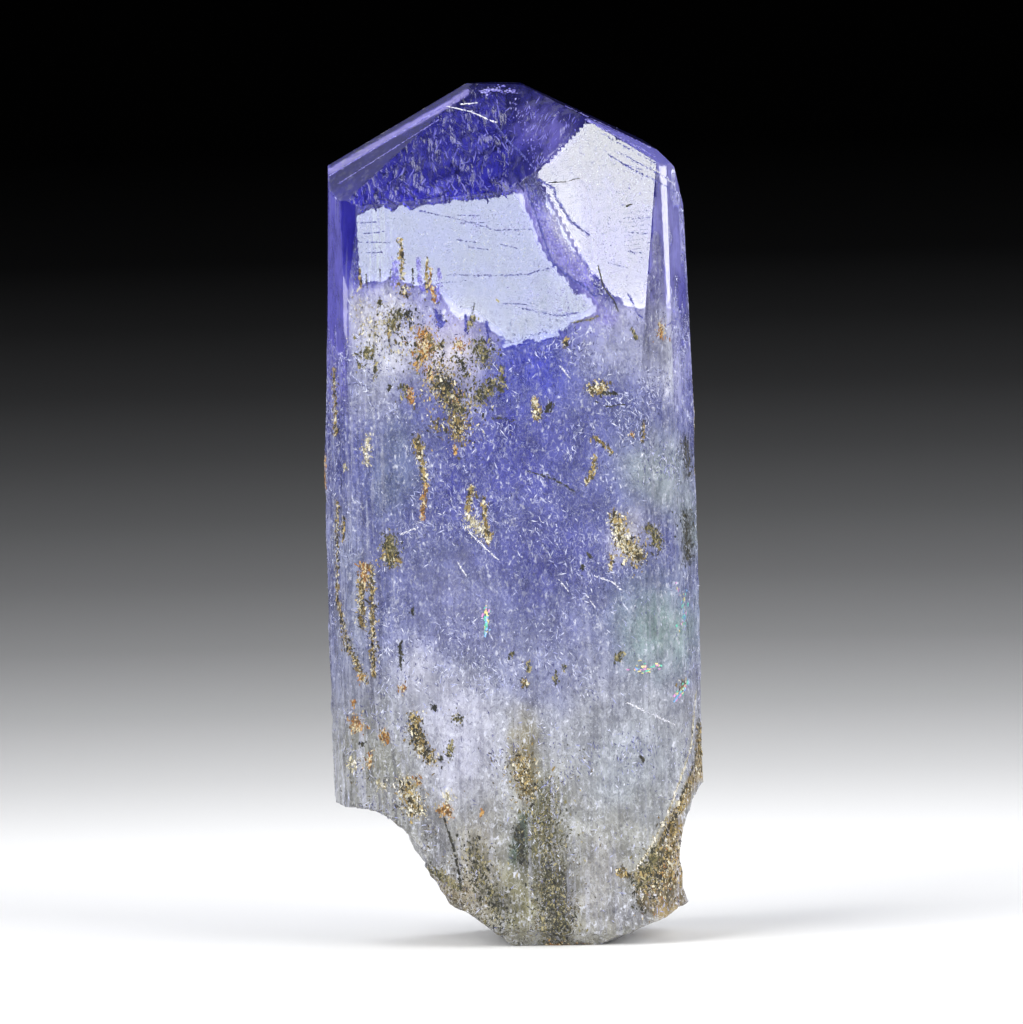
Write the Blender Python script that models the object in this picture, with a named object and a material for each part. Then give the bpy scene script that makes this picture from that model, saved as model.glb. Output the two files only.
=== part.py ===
"""A rough tanzanite crystal, standing on the small flat spot of its broken base.

Metres, +Z up along the crystal's length, the photographed side facing -Y.
The crystal grew as one piece, so it is one solid: a block cut by its natural faces, one at a
time, and then by the hollow breaks of its broken end.
"""

import math
from typing import NamedTuple

import bmesh
import bpy
from mathutils import Matrix, Vector

MM = 0.001

CRYSTAL_NAME = "tanzanite_crystal"
CUTTER_COLLECTION = "cutters"

# The rough block that the crystal is cut from, in mm.
BLOCK_WIDTH = 24.0
BLOCK_DEPTH = 20.0
BLOCK_HEIGHT = 40.0
BLOCK_BOTTOM = -4.0

# Where the middle of the finished crystal's box, and its flat spot, lie before the crystal is
# moved onto the origin, in mm.
BOX_CENTRE_X = -0.10
BOX_CENTRE_Y = 0.75
FLAT_SPOT_HEIGHT = 0.28

# Rounds of a sphere that cuts a hollow break.
HOLLOW_SEGMENTS = 40
HOLLOW_RINGS = 20

COLOUR = (0.30, 0.31, 0.62, 1.0)
ROUGHNESS = 0.12


class Face(NamedTuple):
    """A flat face. Azimuth 0 looks at the camera side, positive to the right, and tilt is the
    angle that the face looks up, both in degrees. It passes through a point given in mm."""

    name: str
    azimuth: float
    tilt: float
    through: tuple


class Hollow(NamedTuple):
    """A shell-shaped break, cut by an ellipsoid with a centre and half sizes in mm."""

    name: str
    centre: tuple
    half_sizes: tuple
    turn: float


# The long faces, round the crystal from the front. The two front faces meet on a low slanting
# ridge, and narrow bevels run down both front edges.
PRISM_FACES = [
    Face("front left", -3, 0, (1.0, -4.4, 20)),
    Face("front right", 5, 4, (1.05, -4.41, 28.85)),
    Face("right bevel, front", 38, 0, (5.5, -4.05, 26)),
    Face("right bevel, middle", 52, 0.5, (5.74, -3.87, 26)),
    Face("right bevel, back", 69, 0.5, (5.97, -3.57, 26)),
    Face("right side, upper", 89, 1.5, (6.71, -1.0, 22)),
    Face("right side, lower", 91, 0, (6.74, 0.0, 12)),
    Face("back right", 118, 0, (6.45, 4.2, 15)),
    Face("back", -156, 0.5, (0, 3.6, 15)),
    Face("back left", -124, 1.5, (-6.0, 1.0, 15)),
    Face("left side, upper", -88, 1.7, (-6.9, 0.5, 20)),
    Face("left side, lower", -91, -0.7, (-6.93, 0.0, 14)),
    Face("left bevel, back", -70, 0.5, (-6.13, -3.70, 25)),
    Face("left bevel, middle", -46, 0.5, (-5.9, -4.02, 24.5)),
    Face("left bevel, front", -35, 4, (-5.45, -4.07, 27.7)),
]

# The roof at the top end.
ROOF_FACES = [
    Face("left roof corner", -38, 56, (-5.55, -3.48, 28.27)),
    Face("back left roof", -140, 38, (-6.54, -0.8, 29.24)),
    Face("back right roof", 158, 47, (0.5, 0.9, 32.1)),
    Face("right roof", 88, 63.4, (0.76, 0.0, 32.05)),
    Face("right roof, front band", 65, 54, (3.1, -4.08, 30.75)),
    Face("right corner, upper", 93, 43, (5.8, -1.0, 29.3)),
    Face("right corner, lower", 92, 13, (6.33, -1.0, 28.3)),
    Face("worn top", 20, 87, (0.0, 0.0, 32.1)),
]

# The broken end, which runs from the small flat spot up to the sides.
BREAK_FACES = [
    Face("flat spot", 0, -90, (0, 0, FLAT_SPOT_HEIGHT)),
    Face("left slope, middle", -87, -54, (-1.0, -1.0, 0.72)),
    Face("right slope, low", 72, -72, (3.2, -1.0, 0.15)),
    Face("right slope, middle", 84, -61, (4.7, -1.0, 0.9)),
    Face("front chip", -8, -48, (1.5, -3.95, 0.4)),
    Face("back slope, low", 172, -66, (1.0, 3.5, 0.35)),
    Face("back slope, steep", 158, -34, (1.0, 4.7, 3.0)),
]

# The left of the break bites up into the crystal, below a shelf and beside a steep slope.
LEFT_BITE = [
    Face("shelf", -100, -72, (-5.5, -1.0, 5.3)),
    Face("left slope, steep", -91, -37, (-2.75, -1.0, 2.2)),
]

# The right half of the crystal stands higher than the left, so a notch is cut from the roof.
# It lies above both of these faces.
ROOF_NOTCH = [
    Face("dark front roof", -8, 48.7, (-5.57, -4.08, 27.75)),
    Face("wall up to the right half", -42, 40, (1.1, -4.39, 28.93)),
]

# A strip at the front left edge lies a little behind the front face, below a slanting step.
# The strip is cut in front of the first face, left of the second and below the third.
EDGE_STRIP = [
    Face("strip floor", -16, -1.2, (-5.8, -3.80, 9)),
    Face("strip wall", -84, -4, (-5.25, -4.1, 9)),
    Face("strip top", -60, -60, (-5.5, -4.0, 12.6)),
]

HOLLOWS = [
    Hollow("left break", (-6.8, -1.2, 2.3), (3.4, 9.0, 3.4), 6),
    Hollow("left break, back", (-5.6, 5.2, 1.0), (4.4, 3.6, 3.9), 20),
    Hollow("right break", (8.45, -1.0, 3.2), (2.75, 14.0, 3.7), 2),
    Hollow("right break, back", (6.6, 6.6, 2.2), (3.6, 3.6, 4.4), 0),
]


def clear_scene():
    """Remove the objects that a new file starts with."""
    for thing in list(bpy.data.objects):
        bpy.data.objects.remove(thing, do_unlink=True)


def new_collection(name):
    """Make a collection in the scene."""
    made = bpy.data.collections.new(name)
    bpy.context.scene.collection.children.link(made)
    return made


def crystal_material():
    """The blue-violet of the stone, smooth as natural faces are."""
    made = bpy.data.materials.new(CRYSTAL_NAME)
    made.use_nodes = True
    shader = made.node_tree.nodes["Principled BSDF"]
    shader.inputs["Base Color"].default_value = COLOUR
    shader.inputs["Roughness"].default_value = ROUGHNESS
    shader.inputs["Metallic"].default_value = 0.0
    return made


def outward(face):
    """The direction that a face looks."""
    azimuth = math.radians(face.azimuth)
    tilt = math.radians(face.tilt)
    level = math.cos(tilt)
    return Vector((math.sin(azimuth) * level, -math.cos(azimuth) * level, math.sin(tilt)))


def new_block(width, depth, height, bottom):
    """A box centred over the origin, in mm."""
    block = bmesh.new()
    bmesh.ops.create_cube(block, size=1.0)
    bmesh.ops.scale(block, vec=(width * MM, depth * MM, height * MM), verts=block.verts)
    bmesh.ops.translate(block, vec=(0, 0, (bottom + height / 2) * MM), verts=block.verts)
    return block


def cut_flat(block, face, keep_outside=False):
    """Cut the block along a face and close the cut. What lies outside the face goes, or what
    lies inside it where keep_outside is set."""
    direction = outward(face)
    if keep_outside:
        direction.negate()
    everything = block.verts[:] + block.edges[:] + block.faces[:]
    cut = bmesh.ops.bisect_plane(
        block,
        geom=everything,
        plane_co=Vector(face.through) * MM,
        plane_no=direction,
        clear_outer=True,
    )
    rim = [part for part in cut["geom_cut"] if isinstance(part, bmesh.types.BMEdge)]
    if rim:
        bmesh.ops.edgeloop_fill(block, edges=rim)


def place_in(collection, name, block):
    """Turn a block into an object, with the crystal's middle moved over the origin."""
    bmesh.ops.recalc_face_normals(block, faces=block.faces)
    to_middle = Matrix.Translation(
        (-BOX_CENTRE_X * MM, -BOX_CENTRE_Y * MM, -FLAT_SPOT_HEIGHT * MM)
    )
    bmesh.ops.transform(block, matrix=to_middle, verts=block.verts)
    mesh = bpy.data.meshes.new(name)
    block.to_mesh(mesh)
    block.free()
    made = bpy.data.objects.new(name, mesh)
    collection.objects.link(made)
    return made


def make_crystal(collection):
    """The crystal with all its flat faces."""
    block = new_block(BLOCK_WIDTH, BLOCK_DEPTH, BLOCK_HEIGHT, BLOCK_BOTTOM)
    for face in PRISM_FACES + ROOF_FACES + BREAK_FACES:
        cut_flat(block, face)
    crystal = place_in(collection, CRYSTAL_NAME, block)
    crystal.data.materials.append(crystal_material())
    return crystal


def hide_cutter(cutter):
    """Show a cutter as wires only, and never in a render."""
    cutter.display_type = "WIRE"
    cutter.hide_render = True
    return cutter


def wedge_cutter(collection, name, faces):
    """A block cut back to what lies outside every given face."""
    block = new_block(BLOCK_WIDTH, BLOCK_DEPTH, BLOCK_HEIGHT, BLOCK_BOTTOM)
    for face in faces:
        cut_flat(block, face, keep_outside=True)
    return hide_cutter(place_in(collection, name, block))


def hollow_cutter(collection, hollow):
    """An ellipsoid that leaves a shell-shaped break."""
    block = bmesh.new()
    bmesh.ops.create_uvsphere(
        block, u_segments=HOLLOW_SEGMENTS, v_segments=HOLLOW_RINGS, radius=MM
    )
    bmesh.ops.scale(block, vec=hollow.half_sizes, verts=block.verts)
    turn = Matrix.Rotation(math.radians(hollow.turn), 4, "Z")
    place = Matrix.Translation(Vector(hollow.centre) * MM)
    bmesh.ops.transform(block, matrix=place @ turn, verts=block.verts)
    return hide_cutter(place_in(collection, hollow.name, block))


def cut_by(crystal, cutter):
    """Take a cutter's shape out of the crystal."""
    boolean = crystal.modifiers.new(cutter.name, "BOOLEAN")
    boolean.operation = "DIFFERENCE"
    boolean.solver = "EXACT"
    boolean.object = cutter


def main():
    clear_scene()
    crystal = make_crystal(new_collection(CRYSTAL_NAME))
    cutters = new_collection(CUTTER_COLLECTION)
    cut_by(crystal, wedge_cutter(cutters, "roof notch", ROOF_NOTCH))
    cut_by(crystal, wedge_cutter(cutters, "left bite", LEFT_BITE))
    cut_by(crystal, wedge_cutter(cutters, "edge strip", EDGE_STRIP))
    for hollow in HOLLOWS:
        cut_by(crystal, hollow_cutter(cutters, hollow))


main()
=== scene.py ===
"""The looks of a rough tanzanite crystal: a see-through stone with growth lines, etched faces and
a broken, cloudy base, and the grains, needles and veils that are grown into it.

Lengths are in mm until a mesh is made. A place on the photographed side is written (x, h): x to
the right, and h the height above the foot as the camera sees it.
"""

import math
from typing import NamedTuple

import bmesh
import bpy
import numpy as np
from mathutils import Matrix, Vector
from mathutils.bvhtree import BVHTree


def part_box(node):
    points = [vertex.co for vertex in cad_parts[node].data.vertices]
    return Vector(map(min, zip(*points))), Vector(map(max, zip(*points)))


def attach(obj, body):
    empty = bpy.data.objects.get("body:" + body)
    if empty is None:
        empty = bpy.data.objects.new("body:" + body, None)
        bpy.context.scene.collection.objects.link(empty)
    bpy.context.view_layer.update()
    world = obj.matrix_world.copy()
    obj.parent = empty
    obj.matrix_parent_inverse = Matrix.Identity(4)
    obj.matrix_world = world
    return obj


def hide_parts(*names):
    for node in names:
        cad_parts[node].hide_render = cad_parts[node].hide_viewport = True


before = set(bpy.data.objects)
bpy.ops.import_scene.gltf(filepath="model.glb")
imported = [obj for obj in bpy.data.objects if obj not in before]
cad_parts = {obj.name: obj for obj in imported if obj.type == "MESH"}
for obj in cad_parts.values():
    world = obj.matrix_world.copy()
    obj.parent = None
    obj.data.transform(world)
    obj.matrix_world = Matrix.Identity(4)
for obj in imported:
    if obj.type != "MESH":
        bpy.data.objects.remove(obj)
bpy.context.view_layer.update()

MM = 0.001
NODE = "tanzanite_crystal"

# The camera, at the photo's viewing angle.
CAMERA_DISTANCE = 400.0
CAMERA_ELEVATION = 3.0
PHOTO_SIZE = 1023.0
PHOTO_PIXELS_PER_MM = 26.7
VIEW_CENTRE_X = 0.025
VIEW_CENTRE_HEIGHT = 15.82
PHOTO_LEAN = 1.4
SENSOR = 36.0

UP_THE_VIEW = np.array(
    [0.0, math.sin(math.radians(CAMERA_ELEVATION)), math.cos(math.radians(CAMERA_ELEVATION))]
)
INTO_THE_VIEW = np.array(
    [0.0, math.cos(math.radians(CAMERA_ELEVATION)), -math.sin(math.radians(CAMERA_ELEVATION))]
)

# The crystal's mesh.
GRID_STEP = 0.14
SHARP_ANGLE = 10.5

# How deep or high the marks of the surface are.
CRACK_DEPTH = 0.03
GROOVE_DEPTH = 0.09
STEP_DEPTH = 0.16
PIT_DEPTH = 0.10
STROKE_HEIGHT = 0.035
BROKEN_ROUGHNESS = 0.09

# A place outside the crystal from which its surface is looked for, and the height of its middle.
STAND_OFF = 40.0
MIDDLE_HEIGHT = 16.0


# Noise

NOISE_CELLS = 64


def noise_table(seed):
    """Random values from -1 to 1 on a repeating lattice."""
    return np.random.default_rng(seed).uniform(-1.0, 1.0, (NOISE_CELLS,) * 3)


def smooth_noise(points, size, seed):
    """Smooth noise from -1 to 1 with features of a given size, or of one size for each axis."""
    table = noise_table(seed)
    scaled = points / np.asarray(size, float) + 17.3
    cell = np.floor(scaled).astype(int)
    part = scaled - cell
    part = part * part * (3.0 - 2.0 * part)
    total = np.zeros(len(points))
    for dx in (0, 1):
        for dy in (0, 1):
            for dz in (0, 1):
                weight = (
                    (part[:, 0] if dx else 1.0 - part[:, 0])
                    * (part[:, 1] if dy else 1.0 - part[:, 1])
                    * (part[:, 2] if dz else 1.0 - part[:, 2])
                )
                corner = (cell + (dx, dy, dz)) % NOISE_CELLS
                total += weight * table[corner[:, 0], corner[:, 1], corner[:, 2]]
    return total


def rough_noise(points, size, seed, octaves=4):
    """Noise with finer and finer detail, from about -1 to 1."""
    total = np.zeros(len(points))
    size = np.asarray(size, float)
    for octave in range(octaves):
        total += smooth_noise(points, size / 2.0**octave, seed + octave) / 1.7**octave
    return total


def ramp(values, low, high):
    """0 below low, 1 above high, smooth between. low may be the larger."""
    part = np.clip((values - low) / (high - low), 0.0, 1.0)
    return part * part * (3.0 - 2.0 * part)


# Places on the photographed side

def picture_place(points):
    """(x, h) of points in mm."""
    return np.stack([points[:, 0], points @ UP_THE_VIEW], axis=1)


def near_path(places, path):
    """The distance from a path, and which side of it each place lies: positive on the right of
    a path that runs downwards."""
    best = np.full(len(places), 1e9)
    side = np.zeros(len(places))
    for (x0, h0), (x1, h1) in zip(path, path[1:]):
        along = np.array([x1 - x0, h1 - h0])
        length = float(np.hypot(*along))
        along /= length
        offset = places - (x0, h0)
        reach = np.clip(offset @ along, 0.0, length)
        away = offset - reach[:, None] * along
        distance = np.hypot(away[:, 0], away[:, 1])
        closer = distance < best
        best = np.where(closer, distance, best)
        across = along[0] * offset[:, 1] - along[1] * offset[:, 0]
        side = np.where(closer, np.sign(across), side)
    return best, side


# The stone's shape

def cut_into_grid(block, low, high):
    """Cut the crystal's faces along evenly spaced level and upright planes."""
    for axis in (2, 0, 1):
        direction = Vector((0, 0, 0))
        direction[axis] = 1.0
        count = int((high[axis] - low[axis]) / (GRID_STEP * MM))
        for k in range(1, count + 1):
            place = Vector((0, 0, 0))
            place[axis] = low[axis] + (k - 0.37) * GRID_STEP * MM
            everything = block.verts[:] + block.edges[:] + block.faces[:]
            bmesh.ops.bisect_plane(
                block, geom=everything, plane_co=place, plane_no=direction, dist=2e-6
            )


def dense_crystal():
    """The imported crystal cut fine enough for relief, with its edges marked sharp."""
    block = bmesh.new()
    block.from_mesh(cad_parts[NODE].data)
    bmesh.ops.remove_doubles(block, verts=block.verts, dist=1e-6)
    bmesh.ops.dissolve_limit(block, angle_limit=0.002, verts=block.verts, edges=block.edges)
    low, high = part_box(NODE)
    cut_into_grid(block, low, high)
    for edge in block.edges:
        edge.smooth = edge.calc_face_angle(0.0) < math.radians(SHARP_ANGLE)
    for face in block.faces:
        face.smooth = True
    mesh = bpy.data.meshes.new("crystal")
    block.to_mesh(mesh)
    block.free()
    return mesh


def read_values(items, attribute, width=1, kind=np.float32):
    """An attribute of all the items as an array, with a row of a width for each item."""
    values = np.zeros(len(items) * width, kind)
    items.foreach_get(attribute, values)
    return values if width == 1 else values.reshape(-1, width)


def mesh_points(mesh):
    """The mesh's points in mm."""
    return read_values(mesh.vertices, "co", 3, float) / MM


def facing(mesh, direction, low, high):
    """How far each point belongs to a face that looks in a direction, by its best face."""
    normals = read_values(mesh.polygons, "normal", 3).astype(float)
    sizes = read_values(mesh.polygons, "loop_total", kind=int)
    corners = read_values(mesh.loops, "vertex_index", kind=int)
    share = ramp(normals @ np.array(direction), low, high)
    best = np.zeros(len(mesh.vertices))
    np.maximum.at(best, corners, np.repeat(share, sizes))
    return best


# The crack down the ridge between the two front faces, the pale strip under the roof's left
# outline, the step that the lower left has broken away behind, and the grooves of the left strip.
RIDGE_CRACK = [
    (0.9, 27.9), (1.2, 27.1), (1.45, 26.4), (1.65, 25.7), (2.1, 25.0), (2.7, 24.5), (3.3, 23.9),
    (4.0, 23.3),
]
ROOF_STRIP = [(-6.6, 28.5), (-4.6, 29.62), (-1.95, 31.02), (-1.2, 31.5)]
BREAK_STEP = [
    (-5.1, 11.6), (-5.2, 8.6), (-4.7, 7.9), (-4.1, 6.7), (-2.9, 5.1), (-1.9, 1.9), (-1.6, -1.0),
]
LEFT_GROOVES = [
    [(-6.4, 22.0), (-6.6, 12.8), (-6.1, 11.2), (-5.8, 10.5)],
    [(-5.25, 18.7), (-5.3, 17.0), (-5.2, 9.6)],
    [(-5.6, 14.4), (-5.65, 11.4)],
    [(-5.0, 14.2), (-5.0, 11.9)],
    [(-4.55, 18.0), (-4.5, 13.0)],
    [(-4.0, 16.5), (-3.95, 12.5)],
]

# The two smooth, shiny parts of the front, which end in chipped and etched edges.
SHINY_LEFT = [
    (-5.6, 27.0), (-4.5, 27.15), (-3.4, 27.15), (-2.1, 27.3), (-0.05, 27.45), (0.7, 27.75), (1.02, 27.1),
    (1.23, 26.6), (1.25, 26.2), (1.5, 25.65), (1.62, 25.15), (1.85, 24.85), (2.25, 24.5), (2.85, 24.1),
    (3.1, 23.75), (3.5, 23.4), (3.4, 23.0), (2.4, 22.7), (2.05, 22.2), (-0.17, 21.85), (-0.4, 22.35),
    (-1.4, 22.97), (-2.0, 23.1), (-2.65, 24.2), (-3.2, 24.2), (-4.15, 24.5), (-5.4, 24.2),
]
SHINY_RIGHT = [
    (1.15, 28.4), (1.55, 28.75), (2.15, 29.42), (2.5, 29.75), (2.8, 29.9), (2.75, 30.2), (3.5, 30.5),
    (3.8, 31.2), (6.6, 29.6), (6.6, 27.7), (6.3, 25.9), (5.45, 24.8), (5.43, 23.85), (5.35, 23.4),
    (5.0, 23.1), (4.3, 23.3), (3.9, 23.6), (3.35, 24.3), (2.9, 24.85), (2.5, 25.4), (1.95, 26.2),
    (1.5, 27.05),
]

# The dark part of the roof and the lilac part beside it, and the directions that they look in.
DARK_ROOF = [(-5.5, 26.9), (-3.0, 27.05), (0.95, 27.45), (0.6, 31.3), (-1.9, 31.1)]
LILAC_ROOF = [(0.4, 31.4), (0.9, 28.2), (1.3, 28.0), (2.9, 29.5), (3.4, 30.2), (1.3, 31.5)]
DARK_ROOF_FACES = (-0.092, -0.654, 0.751)
LILAC_ROOF_FACES = (-0.513, -0.569, 0.643)


def depth_inside(places, outline):
    """How far each place lies inside a closed outline, less than 0 outside it."""
    distance, _ = near_path(places, outline + outline[:1])
    within = np.zeros(len(places), bool)
    for (x0, h0), (x1, h1) in zip(outline, outline[1:] + outline[:1]):
        crosses = (h0 > places[:, 1]) != (h1 > places[:, 1])
        rise = h1 - h0 if h1 != h0 else 1e-9
        at = x0 + (places[:, 1] - h0) * (x1 - x0) / rise
        within ^= crosses & (places[:, 0] < at)
    return np.where(within, distance, -distance)


def shiny_depth(points):
    """How far each point lies inside the shiny parts of the front, less than 0 outside them."""
    place = picture_place(points)
    ragged = 0.13 * rough_noise(points * (1.0, 1.0, 0.4), 0.4, 201, 2)
    return np.maximum(depth_inside(place, SHINY_LEFT), depth_inside(place, SHINY_RIGHT)) + ragged


def worn_patches(points, normals):
    """How worn the bevels and the narrow face on the right are, in ragged patches."""
    right = normals[:, 0]
    bevel = ramp(right, 0.50, 0.58) * ramp(right, 0.72, 0.66) + 0.6 * ramp(right, 0.85, 0.92)
    h = picture_place(points)[:, 1]
    patches = ramp(rough_noise(points * (1.0, 1.0, 0.4), 0.6, 207, 3), -0.3, 0.2)
    return bevel * patches * ramp(h, 29.0, 28.0) * ramp(h, 20.0, 23.0)


def polish(points, normals, front, depth):
    """How smooth the surface is, from 0 etched to 1 shiny, and half way where a shiny part ends.
    front says how far each point lies on the two front faces, and depth how far inside their
    shiny parts."""
    height = picture_place(points)[:, 1] + 0.8 * rough_noise(points * (1.0, 1.0, 0.4), 0.4, 205, 4)
    sides = ramp(height, 20.5, 24.0) * (1.0 - worn_patches(points, normals))
    return front * np.clip(0.5 + depth, 0.0, 1.0) + (1.0 - front) * sides


def relief(points, normals, shine):
    """How far each point of the crystal's surface stands out, in mm."""
    place = picture_place(points)
    x, h = place[:, 0], place[:, 1]
    etched = 1.0 - shine
    front = ramp(-normals[:, 1], 0.55, 0.85)
    upright = ramp(np.abs(normals[:, 2]), 0.5, 0.25)
    foot = ramp(h, 7.0, 4.0)
    body = ramp(h, 23.5, 19.5)
    left_strip = ramp(x, -4.0, -5.0)

    # Growth lines run the length of the long faces, hardly there on the shiny parts.
    sideways = points * (1.0, 1.0, 0.03)
    lines = rough_noise(sideways, 0.5, 11, 3) + 0.6 * smooth_noise(sideways, 0.22, 21)
    line_height = 0.0004 + 0.0030 * (1.0 - front)
    left_lines = 0.03 * left_strip * ramp(h, 24.0, 20.0)
    line_height += etched * (0.008 + 0.012 * (1.0 - front) + 0.010 * body + left_lines)
    height = lines * line_height * upright * (1.0 - 0.6 * foot)

    # The body is etched, more and more towards the foot.
    etching = rough_noise(points * (1.0, 1.0, 0.6), 1.1, 31, 4)
    height += etching * etched * (0.008 + 0.03 * body + 0.06 * foot)
    height += rough_noise(points, 0.4, 35, 2) * etched * 0.012
    pits = np.clip(rough_noise(points * (1.0, 1.0, 0.5), 0.45, 41, 2) - 0.35, 0.0, 1.0)
    height -= pits * PIT_DEPTH * body * upright * etched

    # The roof's front carries etched strokes that run up its slope.
    roof = ramp(normals[:, 2], 0.45, 0.6) * ramp(-normals[:, 1], 0.1, 0.3) * ramp(h, 20.0, 26.0)
    within = np.maximum(depth_inside(place, DARK_ROOF), depth_inside(place, LILAC_ROOF))
    etched_roof = roof * ramp(within, 0.0, 0.3)
    strokes = 1.0 - np.abs(smooth_noise(points * (1.0, 0.4, 0.4), 0.36, 51)) * 3.0
    height += np.clip(strokes, 0.0, 1.0) * STROKE_HEIGHT * etched_roof
    height += rough_noise(points, 0.9, 55, 3) * (0.001 * roof + 0.012 * etched_roof)

    # A crack runs down the ridge between the two front faces.
    wander = 0.16 * rough_noise(points, 0.5, 61, 2)
    distance, _ = near_path(place + wander[:, None], RIDGE_CRACK)
    height -= ramp(distance, 0.20, 0.04) * CRACK_DEPTH * front

    # Grooves run down the left strip.
    for path in LEFT_GROOVES:
        wander = 0.05 * smooth_noise(points, 0.8, 71)
        distance, _ = near_path(place + wander[:, None], path)
        height -= ramp(distance, 0.14, 0.03) * GROOVE_DEPTH * front

    # The lower left has broken away behind a step.
    distance, side = near_path(place + 0.1 * rough_noise(points, 0.8, 81, 2)[:, None], BREAK_STEP)
    sunk = np.where(side < 0, ramp(distance, 0.0, 0.15), 0.0) * ramp(h, 11.6, 11.0)
    height -= sunk * STEP_DEPTH * front

    # The foot is rough where the crystal broke.
    broken = ramp(normals[:, 2], -0.15, -0.4)
    height += rough_noise(points, 1.6, 91, 5) * BROKEN_ROUGHNESS * broken
    return height


def shape_crystal():
    """The crystal's mesh with its relief."""
    mesh = dense_crystal()
    points = mesh_points(mesh)
    normals = read_values(mesh.vertices, "normal", 3).astype(float)
    front = facing(mesh, (0.0, -1.0, 0.0), 0.93, 0.98)
    roof = facing(mesh, (0.0, 0.0, 1.0), 0.45, 0.6) * (1.0 - front)
    carved = facing(mesh, DARK_ROOF_FACES, 0.96, 0.985)
    carved = np.maximum(carved, 0.6 * facing(mesh, LILAC_ROOF_FACES, 0.96, 0.985))
    carved = np.maximum(carved, 0.5 * facing(mesh, (0.0, 1.0, 0.0), 0.3, 0.5) * roof)
    depth = shiny_depth(points)
    shine = polish(points, normals, front, depth)
    raised = points + normals * relief(points, normals, ramp(shine, 0.3, 0.5))[:, None]
    raised[:, 2] = np.maximum(raised[:, 2], 0.0)
    mesh.vertices.foreach_set("co", (raised * MM).ravel())
    mesh.update()
    colour, cloud = stone_colours(points, normals, front, depth)
    paint(mesh, points, colour, cloud, shine, carved, (1.0 - front) * (1.0 - roof))
    return mesh


# The stone's colour, by place

class Level(NamedTuple):
    """The stone's colour, as seen, and its cloudiness at a height."""

    h: float
    colour: tuple
    cloud: float


class Cloud(NamedTuple):
    """A cloud in the stone: its middle and half sizes in (x, h), its colour as seen, how cloudy
    it is and how strongly it shows."""

    middle: tuple
    half: tuple
    colour: tuple
    cloud: float
    strength: float


# The stone's colours from the foot to the top, and the clouds that lie over them.
LEVELS = [
    Level(-2.0, (0.54, 0.53, 0.48), 0.88),
    Level(4.0, (0.60, 0.60, 0.58), 0.82),
    Level(8.0, (0.62, 0.63, 0.67), 0.76),
    Level(12.0, (0.45, 0.47, 0.68), 0.68),
    Level(17.0, (0.38, 0.40, 0.69), 0.62),
    Level(21.0, (0.43, 0.45, 0.73), 0.50),
    Level(22.5, (0.42, 0.42, 0.82), 0.40),
    Level(24.5, (0.30, 0.28, 0.84), 0.28),
    Level(27.0, (0.30, 0.28, 0.84), 0.26),
    Level(28.5, (0.24, 0.23, 0.64), 0.20),
    Level(33.0, (0.26, 0.25, 0.62), 0.22),
]

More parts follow.
